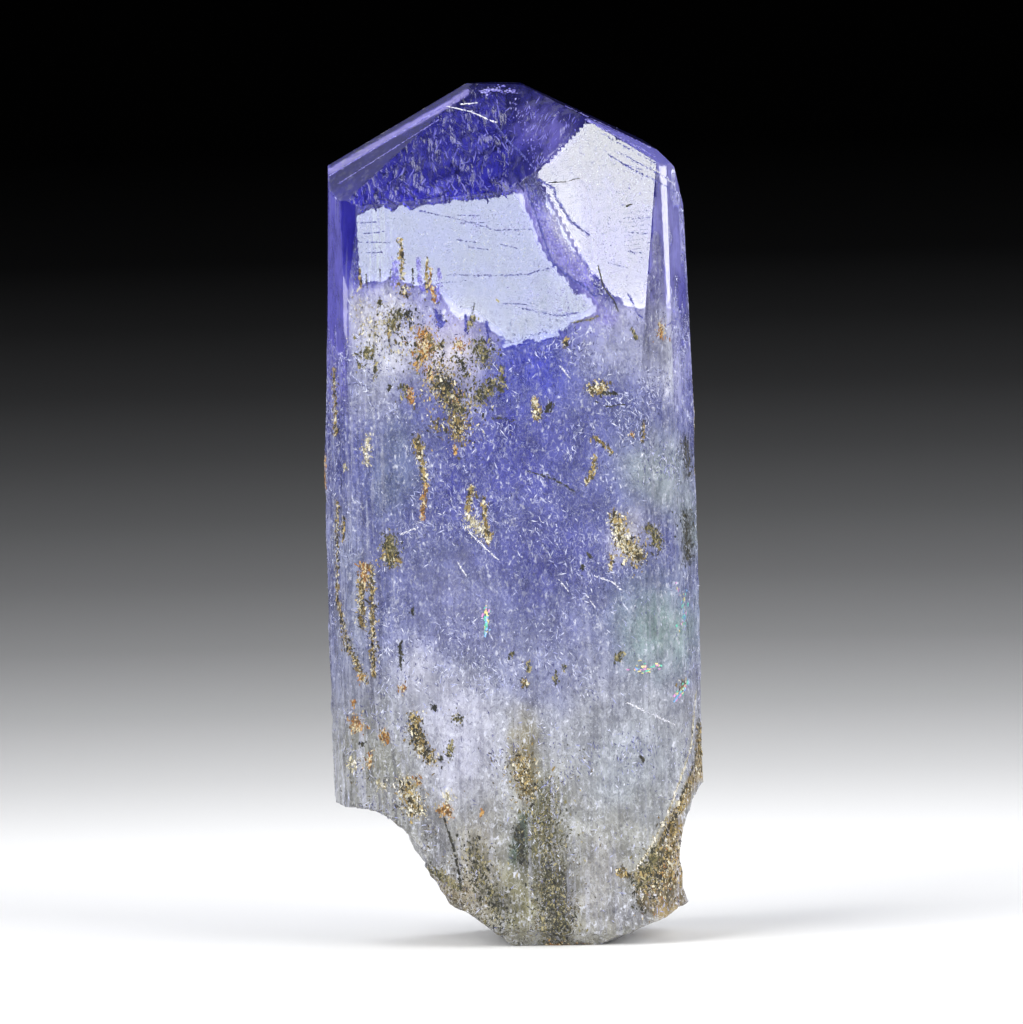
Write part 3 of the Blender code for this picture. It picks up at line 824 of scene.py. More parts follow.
VEINS = veins([
    # The brown and olive cluster that grows up into the shiny left face.
    ("olive", (-5.3, 21.8, -5.0, 21.9), 0.16, 40),
    ("ochre", (-5.35, 25.0, -5.3, 24.2), 0.02, 22, 0.03),
    ("dark", (-5.1, 24.7, -5.1, 24.2), 0.015, 20, 0.015),
    ("dark", (-3.4, 24.9, -3.4, 24.2), 0.02, 26, 0.019),
    ("ochre", (-2.85, 25.2, -2.9, 24.0), 0.03, 40, 0.035),
    ("rust", (-2.7, 24.9, -2.8, 24.2), 0.02, 22, 0.03),
    ("lilac", (-2.4, 24.9, -2.5, 23.6), 0.05, 50, 0.03),
    ("lilac", (-3.2, 25.3, -3.1, 24.0), 0.06, 60, 0.03),
    ("lilac", (-4.0, 25.2, -4.1, 24.2), 0.08, 60, 0.03),
    ("dark", (-1.15, 23.6, -1.4, 22.5), 0.03, 34, 0.019),
    ("pale", (-5.4, 23.6, -5.0, 22.4, -4.2, 23.4), 0.35, 90, 0.04),
    ("olive", (-5.4, 21.4, -5.5, 21.3), 0.1, 12),
    ("olive", (-4.8, 21.5, -4.9, 20.9), 0.04, 16),
    ("olive", (-4.3, 22.6, -4.1, 23.0, -3.9, 23.3), 0.14, 50),
    ("dark", (-3.6, 23.3, -3.6, 23.0), 0.12, 26),
    ("olive", (-4.7, 23.7, -4.6, 23.6), 0.06, 10),
    ("ochre", (-3.8, 26.0, -3.8, 25.3, -3.8, 24.5), 0.04, 60),
    ("rust", (-2.7, 24.2, -2.6, 23.6), 0.05, 26),
    ("ochre", (-3.8, 24.2, -3.7, 23.9), 0.16, 24),
    ("rust", (-3.0, 22.5, -3.0, 22.1, -3.1, 21.6), 0.2, 150),
    ("ochre", (-2.9, 22.4, -2.7, 22.0, -2.4, 22.0), 0.08, 40),
    ("rust", (-3.4, 21.4, -3.3, 21.2), 0.05, 14),
    ("rust", (-1.8, 22.1, -1.7, 21.9), 0.13, 30),
    ("olive", (-1.0, 22.0, -0.8, 21.5), 0.26, 90),
    ("dark", (-1.8, 21.6, -1.5, 20.9), 0.06, 28),
    ("olive", (-1.2, 23.0, -1.4, 22.6), 0.08, 20),
    ("dark", (-2.5, 20.7, -2.2, 20.3), 0.32, 70),
    ("ochre", (-2.6, 20.9, -2.3, 20.1), 0.34, 80),
    ("rust", (-2.9, 21.1, -2.8, 20.8), 0.12, 26),
    ("rust", (-3.6, 20.5, -3.6, 19.9), 0.06, 34),
    ("olive", (-3.8, 20.6, -3.8, 20.1), 0.07, 16),
    ("dark", (-4.3, 20.6, -4.4, 20.4), 0.03, 10),
    ("olive", (-0.4, 20.6, -0.8, 20.3, -1.2, 20.0), 0.2, 90),
    ("dark", (-0.4, 20.6, -1.1, 20.0), 0.14, 30),
    ("rust", (-1.9, 20.1, -1.9, 19.9), 0.12, 18),
    ("olive", (-2.2, 19.8, -1.6, 19.7), 0.2, 60),
    ("ochre", (-2.0, 19.3, -1.8, 19.0, -1.9, 18.6), 0.24, 130),
    ("rust", (-2.0, 18.3, -2.0, 18.0), 0.04, 18),
    ("ochre", (-2.7, 19.2, -2.7, 19.0), 0.14, 20),
    ("olive", (-5.0, 23.2, -3.2, 21.6, -1.2, 20.6), 0.7, 110),
    ("ochre", (-4.2, 22.8, -2.4, 21.2, -1.6, 19.4), 0.6, 150),
    # Upright columns below it.
    ("ochre", (-3.4, 18.6, -3.3, 18.0), 0.12, 50),
    ("ochre", (-3.3, 18.0, -3.1, 16.9), 0.07, 60),
    ("rust", (-3.1, 16.9, -3.3, 15.6), 0.05, 60),
    ("ochre", (-6.4, 21.3, -6.4, 18.8), 0.05, 110),
    ("ochre", (-6.4, 16.4, -6.5, 12.8), 0.04, 80),
    ("ochre", (-6.5, 12.8, -6.3, 11.9), 0.06, 40),
    ("ochre", (-6.3, 11.9, -6.2, 11.1, -5.5, 9.7), 0.08, 90),
    ("pale", (-5.2, 18.8, -5.3, 17.7), 0.09, 60),
    ("pale", (-6.1, 17.7, -6.1, 17.5), 0.06, 10),
    ("ochre", (-6.2, 15.8, -6.2, 14.9), 0.05, 30),
    ("olive", (-4.5, 15.0, -4.5, 14.1), 0.18, 130),
    ("ochre", (-4.6, 14.4, -4.3, 14.1), 0.14, 50),
    ("rust", (-5.5, 14.0, -5.5, 13.2), 0.1, 70),
    ("ochre", (-5.6, 13.4, -5.6, 11.7), 0.08, 120),
    ("ochre", (-5.2, 14.0, -5.2, 12.7, -5.2, 9.9), 0.07, 170),
    ("ochre", (-1.4, 16.8, -1.6, 15.9), 0.07, 60),
    ("ochre", (-1.0, 16.4, -0.9, 14.7), 0.05, 90),
    ("pale", (-1.6, 15.7, -1.0, 15.1), 0.16, 80),
    ("ochre", (-0.8, 15.1, -0.8, 14.8), 0.05, 12),
    ("dark", (-3.7, 12.3, -3.75, 12.25), 0.04, 6),
    ("dark", (-4.2, 11.1, -4.2, 10.1), 0.03, 26),
    ("rust", (-4.2, 9.4, -4.1, 9.4), 0.08, 20),
    ("rust", (-5.7, 9.9, -5.6, 9.8), 0.08, 22),
    # Single grains and threads on the middle and the right.
    ("ochre", (2.2, 22.2, 2.1, 21.8), 0.05, 20),
    ("olive", (-0.2, 21.2, -0.2, 20.4), 0.06, 26),
    ("ochre", (0.95, 20.0, 1.05, 19.5, 1.1, 19.2), 0.07, 60),
    ("pale", (0.95, 19.9, 1.05, 19.4), 0.06, 30, 0.04),
    ("dark", (1.6, 19.8, 1.4, 19.5), 0.06, 22),
    ("ochre", (3.0, 20.3, 3.6, 20.3), 0.12, 80),
    ("dark", (3.3, 20.1, 4.0, 20.1), 0.03, 26),
    ("dark", (3.6, 19.6, 4.3, 19.7), 0.02, 30, 0.019),
    ("rust", (5.7, 22.6, 5.7, 22.1), 0.08, 34),
    ("olive", (4.6, 22.5, 4.8, 22.1), 0.04, 12),
    ("rust", (4.5, 18.6, 4.55, 18.55), 0.06, 8),
    ("ochre", (5.0, 19.1, 4.9, 18.2), 0.04, 22),
    ("ochre", (3.1, 18.5, 3.3, 18.4, 3.6, 18.1, 3.8, 17.9), 0.05, 30),
    ("ochre", (3.1, 17.7, 3.1, 17.3, 2.8, 16.8), 0.05, 44),
    ("dark", (0.7, 17.3, 1.6, 17.0, 2.1, 16.7, 2.4, 16.5), 0.02, 60, 0.019),
    ("dark", (-0.6, 19.3, 0.2, 19.2), 0.03, 30, 0.019),
    ("dark", (6.5, 18.4, 6.6, 17.0), 0.14, 60),
    ("ochre", (3.8, 15.7, 4.0, 15.1, 4.0, 14.6), 0.12, 90),
    ("ochre", (4.2, 14.5, 4.5, 14.3, 4.7, 14.0), 0.22, 170),
    ("olive", (5.0, 15.1, 5.2, 15.0, 5.4, 14.4), 0.12, 80),
    ("ochre", (3.7, 14.1, 3.6, 13.6), 0.05, 24),
    ("dark", (2.6, 13.8, 2.6, 13.6), 0.04, 8),
    ("dark", (2.8, 14.2, 2.9, 14.1), 0.03, 8),
    ("dark", (6.5, 15.6, 6.5, 13.9), 0.15, 130),
    ("olive", (3.7, 10.3, 4.0, 10.5), 0.05, 18),
    ("olive", (-0.1, 10.6, -0.1, 10.5), 0.05, 6),
    ("olive", (0.5, 10.3, 0.5, 10.0), 0.06, 12),
    ("ochre", (0.4, 9.6, 0.3, 9.4), 0.08, 16),
    ("olive", (1.8, 10.1, 1.8, 9.9), 0.05, 8),
    ("olive", (1.5, 9.9, 1.5, 9.4), 0.06, 14),
    ("ochre", (6.3, 9.5, 6.1, 9.0), 0.07, 20),
    # The lower left, along the step.
    ("rust", (-6.0, 9.0, -6.0, 8.8), 0.04, 12),
    ("rust", (-6.0, 8.3, -5.8, 7.9), 0.14, 46),
    ("rust", (-4.9, 7.8, -4.8, 7.5), 0.11, 40),
    ("ochre", (-3.8, 8.4, -3.7, 7.8, -3.5, 7.1, -3.1, 6.7), 0.14, 190),
    ("dark", (-3.8, 8.2, -3.6, 7.4, -3.2, 6.8), 0.12, 40),
    ("rust", (-5.4, 7.0, -5.5, 6.5), 0.07, 26),
    ("pale", (-6.1, 6.8, -6.0, 6.4), 0.12, 26),
    ("rust", (-3.7, 6.1, -3.6, 5.9), 0.1, 30),
    ("ochre", (-4.2, 5.9, -4.0, 5.5, -3.8, 4.8), 0.22, 110),
    ("pale", (-4.2, 6.1, -3.8, 5.1, -3.7, 4.7), 0.22, 70),
    ("rust", (-2.9, 4.8, -2.7, 5.0, -2.6, 4.7), 0.12, 60),
    ("pale", (-2.6, 5.5, -2.6, 5.2), 0.12, 24),
    ("pale", (-5.1, 5.9, -4.9, 5.7), 0.12, 24),
    ("dark", (-5.7, 7.4, -5.7, 7.35), 0.05, 8),
    ("dark", (-3.0, 8.7, -3.0, 8.65), 0.05, 7),
    ("dark", (-2.8, 6.8, -2.8, 6.75), 0.05, 7),
    ("olive", (-2.4, 7.3, -2.5, 6.9), 0.1, 24),
    ("olive", (-2.3, 8.3, -2.0, 8.2), 0.09, 20),
    ("rust", (-1.3, 4.8, -1.4, 4.6), 0.035, 12),
    # The cloudy foot.
    ("dark", (-1.8, 3.8, -1.6, 3.0, -1.6, 2.1), 0.3, 39),
    ("dark", (-2.75, 4.6, -2.35, 3.2, -2.15, 1.9), 0.02, 70, 0.03),
    ("dark", (-1.2, 1.9, -0.6, 1.1, -0.8, 0.4), 0.26, 60),
    ("olive", (-1.7, 3.6, -1.2, 2.2, -0.9, 0.9), 0.35, 120),
    ("ochre", (0.2, 6.8, 0.3, 5.4), 0.3, 150),
    ("dark", (0.0, 4.2, 0.1, 2.9), 0.14, 70),
    ("olive", (0.8, 5.0, 1.2, 3.1), 0.45, 140),
    ("dark", (1.1, 2.5, 1.4, -0.1), 0.32, 120),
    ("olive", (1.2, 2.6, 1.5, 0.1), 0.3, 120),
    ("olive", (0.8, 2.0, 0.9, -0.1), 0.1, 40),
    ("rust", (0.9, -0.2, 2.5, -0.3), 0.05, 50),
    ("olive", (-3.5, 2.8, -2.8, 2.4, -2.2, 1.9), 0.1, 60),
    ("dark", (4.6, 6.7, 4.7, 6.5), 0.03, 10),
    # The brown rock at the lower right.
    ("rust", (5.6, 3.0, 5.3, 1.9, 5.0, 1.2), 0.42, 50),
    ("ochre", (5.7, 3.8, 5.5, 2.6, 4.8, 1.7), 0.36, 240),
    ("olive", (5.1, 3.2, 4.8, 2.5, 4.5, 1.9), 0.2, 160),
    ("ochre", (6.8, 7.8, 6.8, 6.2, 6.3, 5.4, 5.8, 4.5, 5.4, 3.9), 0.1, 170),
    ("ochre", (3.6, 2.5, 4.0, 2.3), 0.08, 30),
    ("dark", (4.05, 2.35, 4.3, 1.7, 4.25, 1.5, 4.55, 0.9), 0.07, 30, 0.04),
    ("dark", (5.7, 4.3, 5.2, 3.3, 4.75, 2.55, 4.3, 2.35), 0.03, 36, 0.04),
    ("dark", (6.8, 8.0, 6.6, 6.4, 6.0, 5.0), 0.03, 60, 0.04),
    ("dark", (5.4, 2.9, 5.0, 2.2, 4.9, 1.4), 0.3, 90, 0.04),
    ("pale", (6.7, 9.0, 6.45, 6.9, 5.5, 4.45, 4.9, 3.4, 4.3, 2.5), 0.015, 240, 0.045),
]) + veins([
    # Grains and threads on the right side.
    ("ochre", (-2.0, 20.4, -2.1, 16.8), 0.05, 110),
    ("olive", (1.4, 17.6, 1.2, 15.8), 0.12, 60),
    ("rust", (2.6, 13.2, 2.5, 11.0), 0.06, 60),
    ("dark", (-1.0, 12.4, -1.1, 11.5), 0.06, 20),
], 90.0) + veins([
    # On the back.
    ("ochre", (-3.6, 23.4, -3.4, 21.6, -2.9, 20.2), 0.16, 170),
    ("olive", (-3.0, 21.8, -2.2, 20.6), 0.26, 120),
    ("rust", (-3.3, 20.2, -3.1, 18.4), 0.06, 60),
    ("ochre", (2.4, 17.4, 2.2, 14.2), 0.07, 120),
    ("pale", (2.3, 18.0, 2.4, 17.2), 0.12, 50),
    ("ochre", (4.9, 14.0, 4.7, 10.2), 0.06, 110),
    ("dark", (-0.6, 9.0, -1.0, 6.4), 0.2, 70),
    ("olive", (0.2, 7.6, -0.4, 3.4), 0.4, 150),
], 180.0) + veins([
    # On the left side.
    ("ochre", (-1.6, 19.4, -1.5, 13.2), 0.05, 150),
    ("ochre", (1.2, 12.6, 1.0, 8.2), 0.07, 120),
    ("rust", (2.4, 17.8, 2.4, 16.6), 0.09, 46),
    ("olive", (-0.4, 8.6, 0.2, 6.0), 0.22, 90),
], -90.0) + veins([
    # Thin cracks that shine in many colours: a painted sheen, given as fixed grain colours.
    ("iridescent", (6.1, 13.0, 6.35, 12.0, 6.2, 11.4), 0.1, 34, 0.035),
    ("iridescent", (4.4, 9.9, 5.3, 10.0), 0.1, 30, 0.035),
    ("iridescent", (5.9, 8.7, 6.4, 9.4), 0.06, 34, 0.035),
    ("iridescent", (-0.95, 12.4, -1.05, 11.3), 0.08, 36, 0.035),
    # White scratches.
    ("white", (-2.0, 30.95, -1.1, 30.7, -0.2, 30.25), 0.012, 90, 0.019),
    ("white", (-1.5, 31.0, -0.9, 31.05), 0.012, 30, 0.019),
    ("white", (-1.6, 15.15, -0.4, 13.95), 0.015, 90, 0.015),
    ("white", (-2.0, 14.0, -1.7, 13.5), 0.015, 40, 0.015),
    ("white", (3.0, 13.4, 3.7, 13.15, 4.0, 12.85), 0.015, 60, 0.015),
    ("white", (2.7, 12.7, 3.05, 12.2), 0.012, 36, 0.012),
    ("white", (1.7, 13.3, 2.05, 12.85), 0.012, 30, 0.012),
    ("white", (4.1, 8.7, 5.9, 7.8), 0.02, 90, 0.015),
    ("white", (1.9, 21.2, 2.3, 20.7), 0.015, 34, 0.015),
    ("white", (-3.4, 15.35, -4.1, 15.1), 0.02, 40, 0.015),
    ("white", (5.6, 28.3, 6.35, 27.75), 0.015, 40, 0.015),
    # Fine blue scratches on the shiny faces.
    ("blue", (-2.2, 24.6, -0.2, 24.54, 0.75, 24.54, 1.2, 24.65, 1.85, 24.82), 0.02, 120, 0.017),
    ("blue", (-3.1, 27.0, -1.5, 26.6, -0.3, 26.2, 1.0, 26.2), 0.012, 110, 0.016),
    ("blue", (-1.8, 25.9, -0.9, 25.75), 0.012, 30, 0.016),
    ("blue", (-1.6, 26.5, -0.7, 26.5), 0.012, 26, 0.016),
    ("blue", (0.6, 23.3, 1.9, 23.0, 2.7, 23.1), 0.015, 60, 0.018),
    ("blue", (-0.1, 23.5, 0.8, 23.45), 0.01, 30, 0.016),
    ("dark", (1.75, 27.9, 2.3, 27.92), 0.008, 40, 0.015),
    ("dark", (2.4, 27.95, 2.85, 28.05), 0.008, 24, 0.012),
    ("dark", (3.43, 24.83, 3.6, 24.02, 3.97, 23.53, 4.13, 23.14), 0.01, 150, 0.017),
    ("blue", (4.5, 23.75, 4.73, 23.27, 4.85, 22.98, 5.05, 22.83), 0.02, 60, 0.016),
    ("olive", (2.42, 22.75, 3.09, 22.83, 3.43, 22.97), 0.02, 60, 0.018),
    ("blue", (5.95, 22.57, 6.34, 22.85), 0.01, 30, 0.016),
    ("blue", (4.4, 28.55, 5.13, 28.14, 5.84, 27.78, 6.41, 27.48), 0.02, 110, 0.014),
    ("blue", (-0.28, 30.28, 0.14, 29.65, 0.68, 29.07, 1.17, 28.44), 0.02, 120, 0.024),
    ("dark", (4.5, 26.95, 4.75, 27.05), 0.02, 20, 0.015),
    ("dark", (-4.6, 24.9, -4.6, 24.4), 0.012, 26, 0.014),
    ("dark", (-4.2, 24.9, -4.25, 24.5), 0.012, 22, 0.014),
    ("blue", (-2.55, 23.2, -2.35, 22.8, -2.5, 22.75), 0.05, 60),
    ("blue", (-1.5, 23.1, -1.5, 22.5), 0.03, 30, 0.03),
    ("blue", (-0.7, 22.9, -0.7, 22.0), 0.04, 40, 0.03),
    ("blue", (2.0, 22.4, 2.1, 22.2), 0.06, 26),
    ("blue", (-5.4, 26.6, -4.7, 26.62), 0.01, 24, 0.016),
    ("blue", (-5.2, 26.2, -4.4, 26.25), 0.01, 26, 0.016),
    ("blue", (-5.4, 25.9, -4.2, 25.85), 0.01, 34, 0.016),
    ("blue", (-5.1, 25.5, -4.5, 25.5), 0.01, 20, 0.016),
    ("blue", (-1.7, 26.8, -0.8, 26.75), 0.01, 26, 0.015),
    ("blue", (-1.3, 25.6, -0.6, 25.5), 0.01, 22, 0.015),
    ("blue", (-0.2, 25.7, 0.5, 25.5), 0.01, 22, 0.015),
    ("blue", (-3.3, 23.9, -2.5, 24.3, -1.4, 24.4), 0.02, 34, 0.015),
    ("blue", (4.7, 26.5, 5.4, 26.55), 0.01, 20, 0.015),
    ("blue", (4.6, 26.0, 5.3, 25.95), 0.01, 20, 0.015),
    ("blue", (4.5, 25.3, 5.2, 25.2), 0.01, 20, 0.015),
    ("blue", (3.8, 24.9, 4.5, 24.7), 0.01, 18, 0.015),
    ("blue", (3.9, 28.9, 4.5, 28.5, 5.2, 28.3), 0.01, 44, 0.016),
    ("lilac", (-0.9, 26.9, -1.0, 26.2), 0.3, 40, 0.014),
    ("lilac", (0.9, 26.7, 0.2, 26.0), 0.35, 50, 0.014),
    ("lilac", (3.6, 29.2, 4.9, 27.2), 0.6, 90, 0.014),
    ("lilac", (3.4, 25.8, 4.6, 24.6), 0.6, 90, 0.014),
    ("lilac", (0.6, 23.8, 2.6, 23.5), 0.45, 90, 0.016),
    # Lines that run beside the top edges.
    ("lilac", (-6.4, 28.45, -2.1, 30.95), 0.012, 420, 0.02),
    ("lilac", (-6.1, 28.1, -2.3, 30.45), 0.012, 260, 0.014),
    ("lilac", (3.1, 30.2, 5.7, 28.75), 0.018, 150, 0.024),
    ("lilac", (2.4, 30.8, 5.5, 29.15), 0.018, 150, 0.024),
    ("blue", (4.4, 28.9, 6.2, 27.9), 0.022, 80, 0.015),
    ("blue", (3.6, 29.7, 5.7, 28.5), 0.022, 80, 0.014),
    ("lilac", (0.4, 31.3, 0.9, 30.0, 1.1, 28.6), 0.16, 50, 0.025),
    ("lilac", (1.1, 27.4, 1.5, 26.2, 2.1, 25.1, 3.1, 24.1), 0.14, 160, 0.02),
    ("lilac", (-0.7, 31.5, -0.2, 31.5, 0.6, 31.45), 0.07, 60, 0.03),
    ("blue", (1.3, 28.05, 1.87, 27.7, 1.96, 27.3, 2.2, 26.9, 2.42, 26.5, 3.12, 25.95), 0.028, 220, 0.019),
    ("blue", (0.85, 27.9, 0.95, 27.35, 1.2, 26.7, 1.5, 25.7, 1.75, 24.95), 0.02, 160, 0.02),
    ("blue", (1.75, 24.95, 2.3, 24.45, 2.9, 24.05, 3.3, 23.7), 0.03, 130, 0.022),
    ("white", (1.5, 27.2, 2.0, 26.0, 2.7, 24.9, 3.6, 23.9), 0.18, 240, 0.012),
    ("pale", (3.9, 15.4, 4.1, 14.6, 4.6, 14.1), 0.16, 110),
]) + veins([
    # Fine parallel lines beside the right edge of the shiny part.
    ("blue", (4.4, 26.7 - 0.17 * k, 5.35, 26.8 - 0.17 * k), 0.008, 24, 0.01) for k in range(9)
])


def joined_solids(name, shape, placements):
    """One mesh of many copies of a small solid. Each placement is a 3 by 3 turn, an offset in mm
    and a colour, which is stored on the mesh."""
    shape_points, shape_faces = shape
    turns = np.array([turn for turn, _, _ in placements])
    offsets = np.array([offset for _, offset, _ in placements])
    colours = np.array([colour for _, _, colour in placements])
    copies = np.einsum("nij,kj->nki", turns, shape_points) + offsets[:, None, :]
    copies[:, :, 2] = np.maximum(copies[:, :, 2], 0.0)
    count, size = len(placements), len(shape_points)
    faces = (shape_faces[None] + size * np.arange(count)[:, None, None]).reshape(-1, 3)
    mesh = bpy.data.meshes.new(name)
    mesh.from_pydata((copies.reshape(-1, 3) * MM).tolist(), [], faces.tolist())
    layer = mesh.color_attributes.new("grain", "FLOAT_COLOR", "POINT")
    packed = np.concatenate([linear(colours), np.ones((count, 1))], axis=1)
    layer.data.foreach_set("color", np.repeat(packed, size, axis=0).astype(np.float32).ravel())
    mesh.update()
    return mesh


def splinter_shape():
    """A thin splinter along X: a stretched eight-sided solid."""
    points = np.array([[1, 0, 0], [-1, 0, 0], [0, 1, 0], [0, -1, 0], [0, 0, 1], [0, 0, -1.0]])
    faces = np.array(
        [[0, 2, 4], [2, 1, 4], [1, 3, 4], [3, 0, 4], [2, 0, 5], [1, 2, 5], [3, 1, 5], [0, 3, 5]]
    )
    return points, faces


def chunk_shape(seed):
    """An uneven little block."""
    corners = np.array([(x, y, z) for x in (-1, 1) for y in (-1, 1) for z in (-1, 1)], float)
    corners *= np.random.default_rng(seed).uniform(0.45, 0.95, corners.shape)
    sides = [(0, 1, 3, 2), (4, 6, 7, 5), (0, 4, 5, 1), (2, 3, 7, 6), (0, 2, 6, 4), (1, 5, 7, 3)]
    faces = [face for a, b, c, d in sides for face in ((a, b, c), (a, c, d))]
    return corners, np.array(faces)


def squiggle_shape(bends):
    """A thin bent bar along X, tapering to both ends. bends gives how far its middle line lies
    to the side at three places, in half widths."""
    points = [(-1.0, 0.0, 0.0)]
    for k, bend in enumerate(bends):
        along = (k - 1) * 0.5
        points += [(along, bend + y, z) for y, z in ((1, 0), (0, 1), (-1, 0), (0, -1))]
    points.append((1.0, 0.0, 0.0))
    faces = []
    for k in range(4):
        j = (k + 1) % 4
        faces += [(0, 1 + j, 1 + k), (13, 9 + k, 9 + j)]
        for first in (1, 5):
            faces += [(first + k, first + j, first + 4 + j), (first + k, first + 4 + j, first + 4 + k)]
    return np.array(points), np.array(faces)


def lying_on(normal, angle):
    """Three directions: along the surface at an angle from level, across it, and outwards."""
    outward = np.array(normal)
    level = np.cross([0.0, 0.0, 1.0], outward)
    level /= np.linalg.norm(level) + 1e-9
    up = np.cross(outward, level)
    along = level * math.cos(angle) + up * math.sin(angle)
    return np.stack([along, np.cross(outward, along), outward], axis=1)


def along_path(path, share):
    """The place a share of the way along a path."""
    steps = [math.dist(a, b) for a, b in zip(path, path[1:])]
    left = share * sum(steps)
    for (x0, h0), (x1, h1), step in zip(path, path[1:], steps):
        if left <= step:
            break
        left -= step
    part = min(left / step, 1.0)
    return x0 + (x1 - x0) * part, h0 + (h1 - h0) * part


# Veins with a size below this are fine lines. The numbers and sizes of their marks, and of the
# grains of other veins, are the vein's own times these. A share of the grains is larger.
FINE_SIZE = 0.04
FINE_COUNT = 1.4
GRAIN_COUNT = 3.3
GRAIN_SIZE = 0.44
LARGE_SHARE = 0.15
LARGE_SIZE = 1.7


def grain_placements(kind, tree, draw):
    """Where the grains of a kind lie, half sunk in the surface. Most stand more or less upright."""
    placements = []
    colours = np.array(GRAIN_COLOURS[kind])
    for vein in VEINS:
        if vein.kind != kind:
            continue
        fine = vein.size < FINE_SIZE
        count = int(vein.count * (FINE_COUNT if fine else GRAIN_COUNT))
        for _ in range(count):
            x, h = along_path(vein.path, draw.uniform())
            x, h = np.array([x, h]) + draw.normal(0.0, vein.spread, 2) * draw.uniform(0.3, 1.5)
            place, normal = seen_from(tree, vein.azimuth, x, h)
            size = vein.size * (1.0 if fine else GRAIN_SIZE) * min(math.exp(draw.normal(0.0, 0.4)), 1.5)
            if not fine and draw.uniform() < LARGE_SHARE:
                size *= LARGE_SIZE
            stretch = np.array([draw.uniform(1.0, 2.6), draw.uniform(0.6, 1.1), 0.7]) * size
            colour = colours[draw.integers(len(colours))] * draw.uniform(0.88, 1.08)
            angle = draw.normal(math.pi / 2.0, 0.6)
            if fine:
                (x0, h0), (x1, h1) = vein.path[0], vein.path[-1]
                angle = math.atan2(h1 - h0, x1 - x0) + draw.normal(0.0, 0.15)
            if place is None:
                continue
            turn = lying_on(normal, angle) * stretch
            placements.append((turn, np.array(place) - np.array(normal) * size * 0.15, colour))
    return placements


def build_grains(tree):
    """The brown, olive, dark and pale grains, one piece for each kind."""
    for number, kind in enumerate(GRAIN_COLOURS):
        draw = np.random.default_rng(300 + number)
        mesh = joined_solids(kind, chunk_shape(400 + number), grain_placements(kind, tree, draw))
        new_piece(f"{kind}_grains", mesh, grain_material(f"{kind}_grain"))


class Flecks(NamedTuple):
    """Thin splinters or bent bars strewn over a part of the surface: their shape, number, half
    lengths and half widths in mm, two colours to lie between, and how widely they turn."""

    name: str
    where: str
    shape: tuple
    count: int
    half_length: tuple
    half_width: tuple
    colours: tuple
    wobble: float


FLECKS = [
    Flecks("pale_flecks", "body", splinter_shape(), 8000, (0.02, 0.18), (0.008, 0.022),
           ((0.60, 0.62, 0.82), (0.93, 0.94, 1.0)), 0.8),
    Flecks("dark_flecks", "body", splinter_shape(), 9000, (0.02, 0.12), (0.008, 0.022),
           ((0.14, 0.15, 0.38), (0.34, 0.35, 0.56)), 0.75),
    Flecks("curled_flecks", "body", squiggle_shape((1.6, 2.4, 1.6)), 500, (0.04, 0.16),
           (0.008, 0.018), ((0.56, 0.58, 0.82), (0.88, 0.90, 0.98)), 0.9),
    Flecks("pale_etching", "dark roof", squiggle_shape((0.9, 0.2, -0.7)), 60, (0.08, 0.40),
           (0.018, 0.040), ((0.30, 0.29, 0.66), (0.46, 0.45, 0.80)), 0.35),
    Flecks("dark_etching", "dark roof", squiggle_shape((-0.7, 0.3, 0.9)), 170, (0.08, 0.40),
           (0.020, 0.050), ((0.05, 0.03, 0.38), (0.10, 0.08, 0.48)), 0.35),
    Flecks("bent_etching", "dark roof", squiggle_shape((0.7, 1.1, 0.7)), 40, (0.06, 0.25),
           (0.014, 0.030), ((0.20, 0.20, 0.58), (0.42, 0.42, 0.76)), 0.7),
    Flecks("lilac_etching", "lilac roof", squiggle_shape((0.7, 1.1, 0.7)), 60, (0.06, 0.25),
           (0.014, 0.034), ((0.28, 0.26, 0.64), (0.54, 0.53, 0.84)), 0.35),
    Flecks("face_flecks", "shiny", splinter_shape(), 2600, (0.01, 0.09), (0.005, 0.011),
           ((0.44, 0.46, 0.74), (0.78, 0.80, 0.92)), 1.4),
    Flecks("brown_specks", "foot", splinter_shape(), 5000, (0.02, 0.08), (0.012, 0.030),
           ((0.14, 0.13, 0.10), (0.46, 0.40, 0.27)), 1.2),
    Flecks("pale_sugar", "foot", splinter_shape(), 4000, (0.015, 0.05), (0.010, 0.026),
           ((0.50, 0.49, 0.42), (0.76, 0.75, 0.70)), 1.2),
]

# Most flecks lean to the left at their tops: their angle from level.
FLECK_LEAN = math.radians(104.0)


def surface_triangles(mesh):
    """The corners in mm, the outward directions and the areas of a mesh's triangles."""
    mesh.calc_loop_triangles()
    triangles = mesh.loop_triangles
    corners = read_values(triangles, "vertices", 3, int)
    normals = read_values(triangles, "normal", 3).astype(float)
    return mesh_points(mesh)[corners], normals, read_values(triangles, "area")


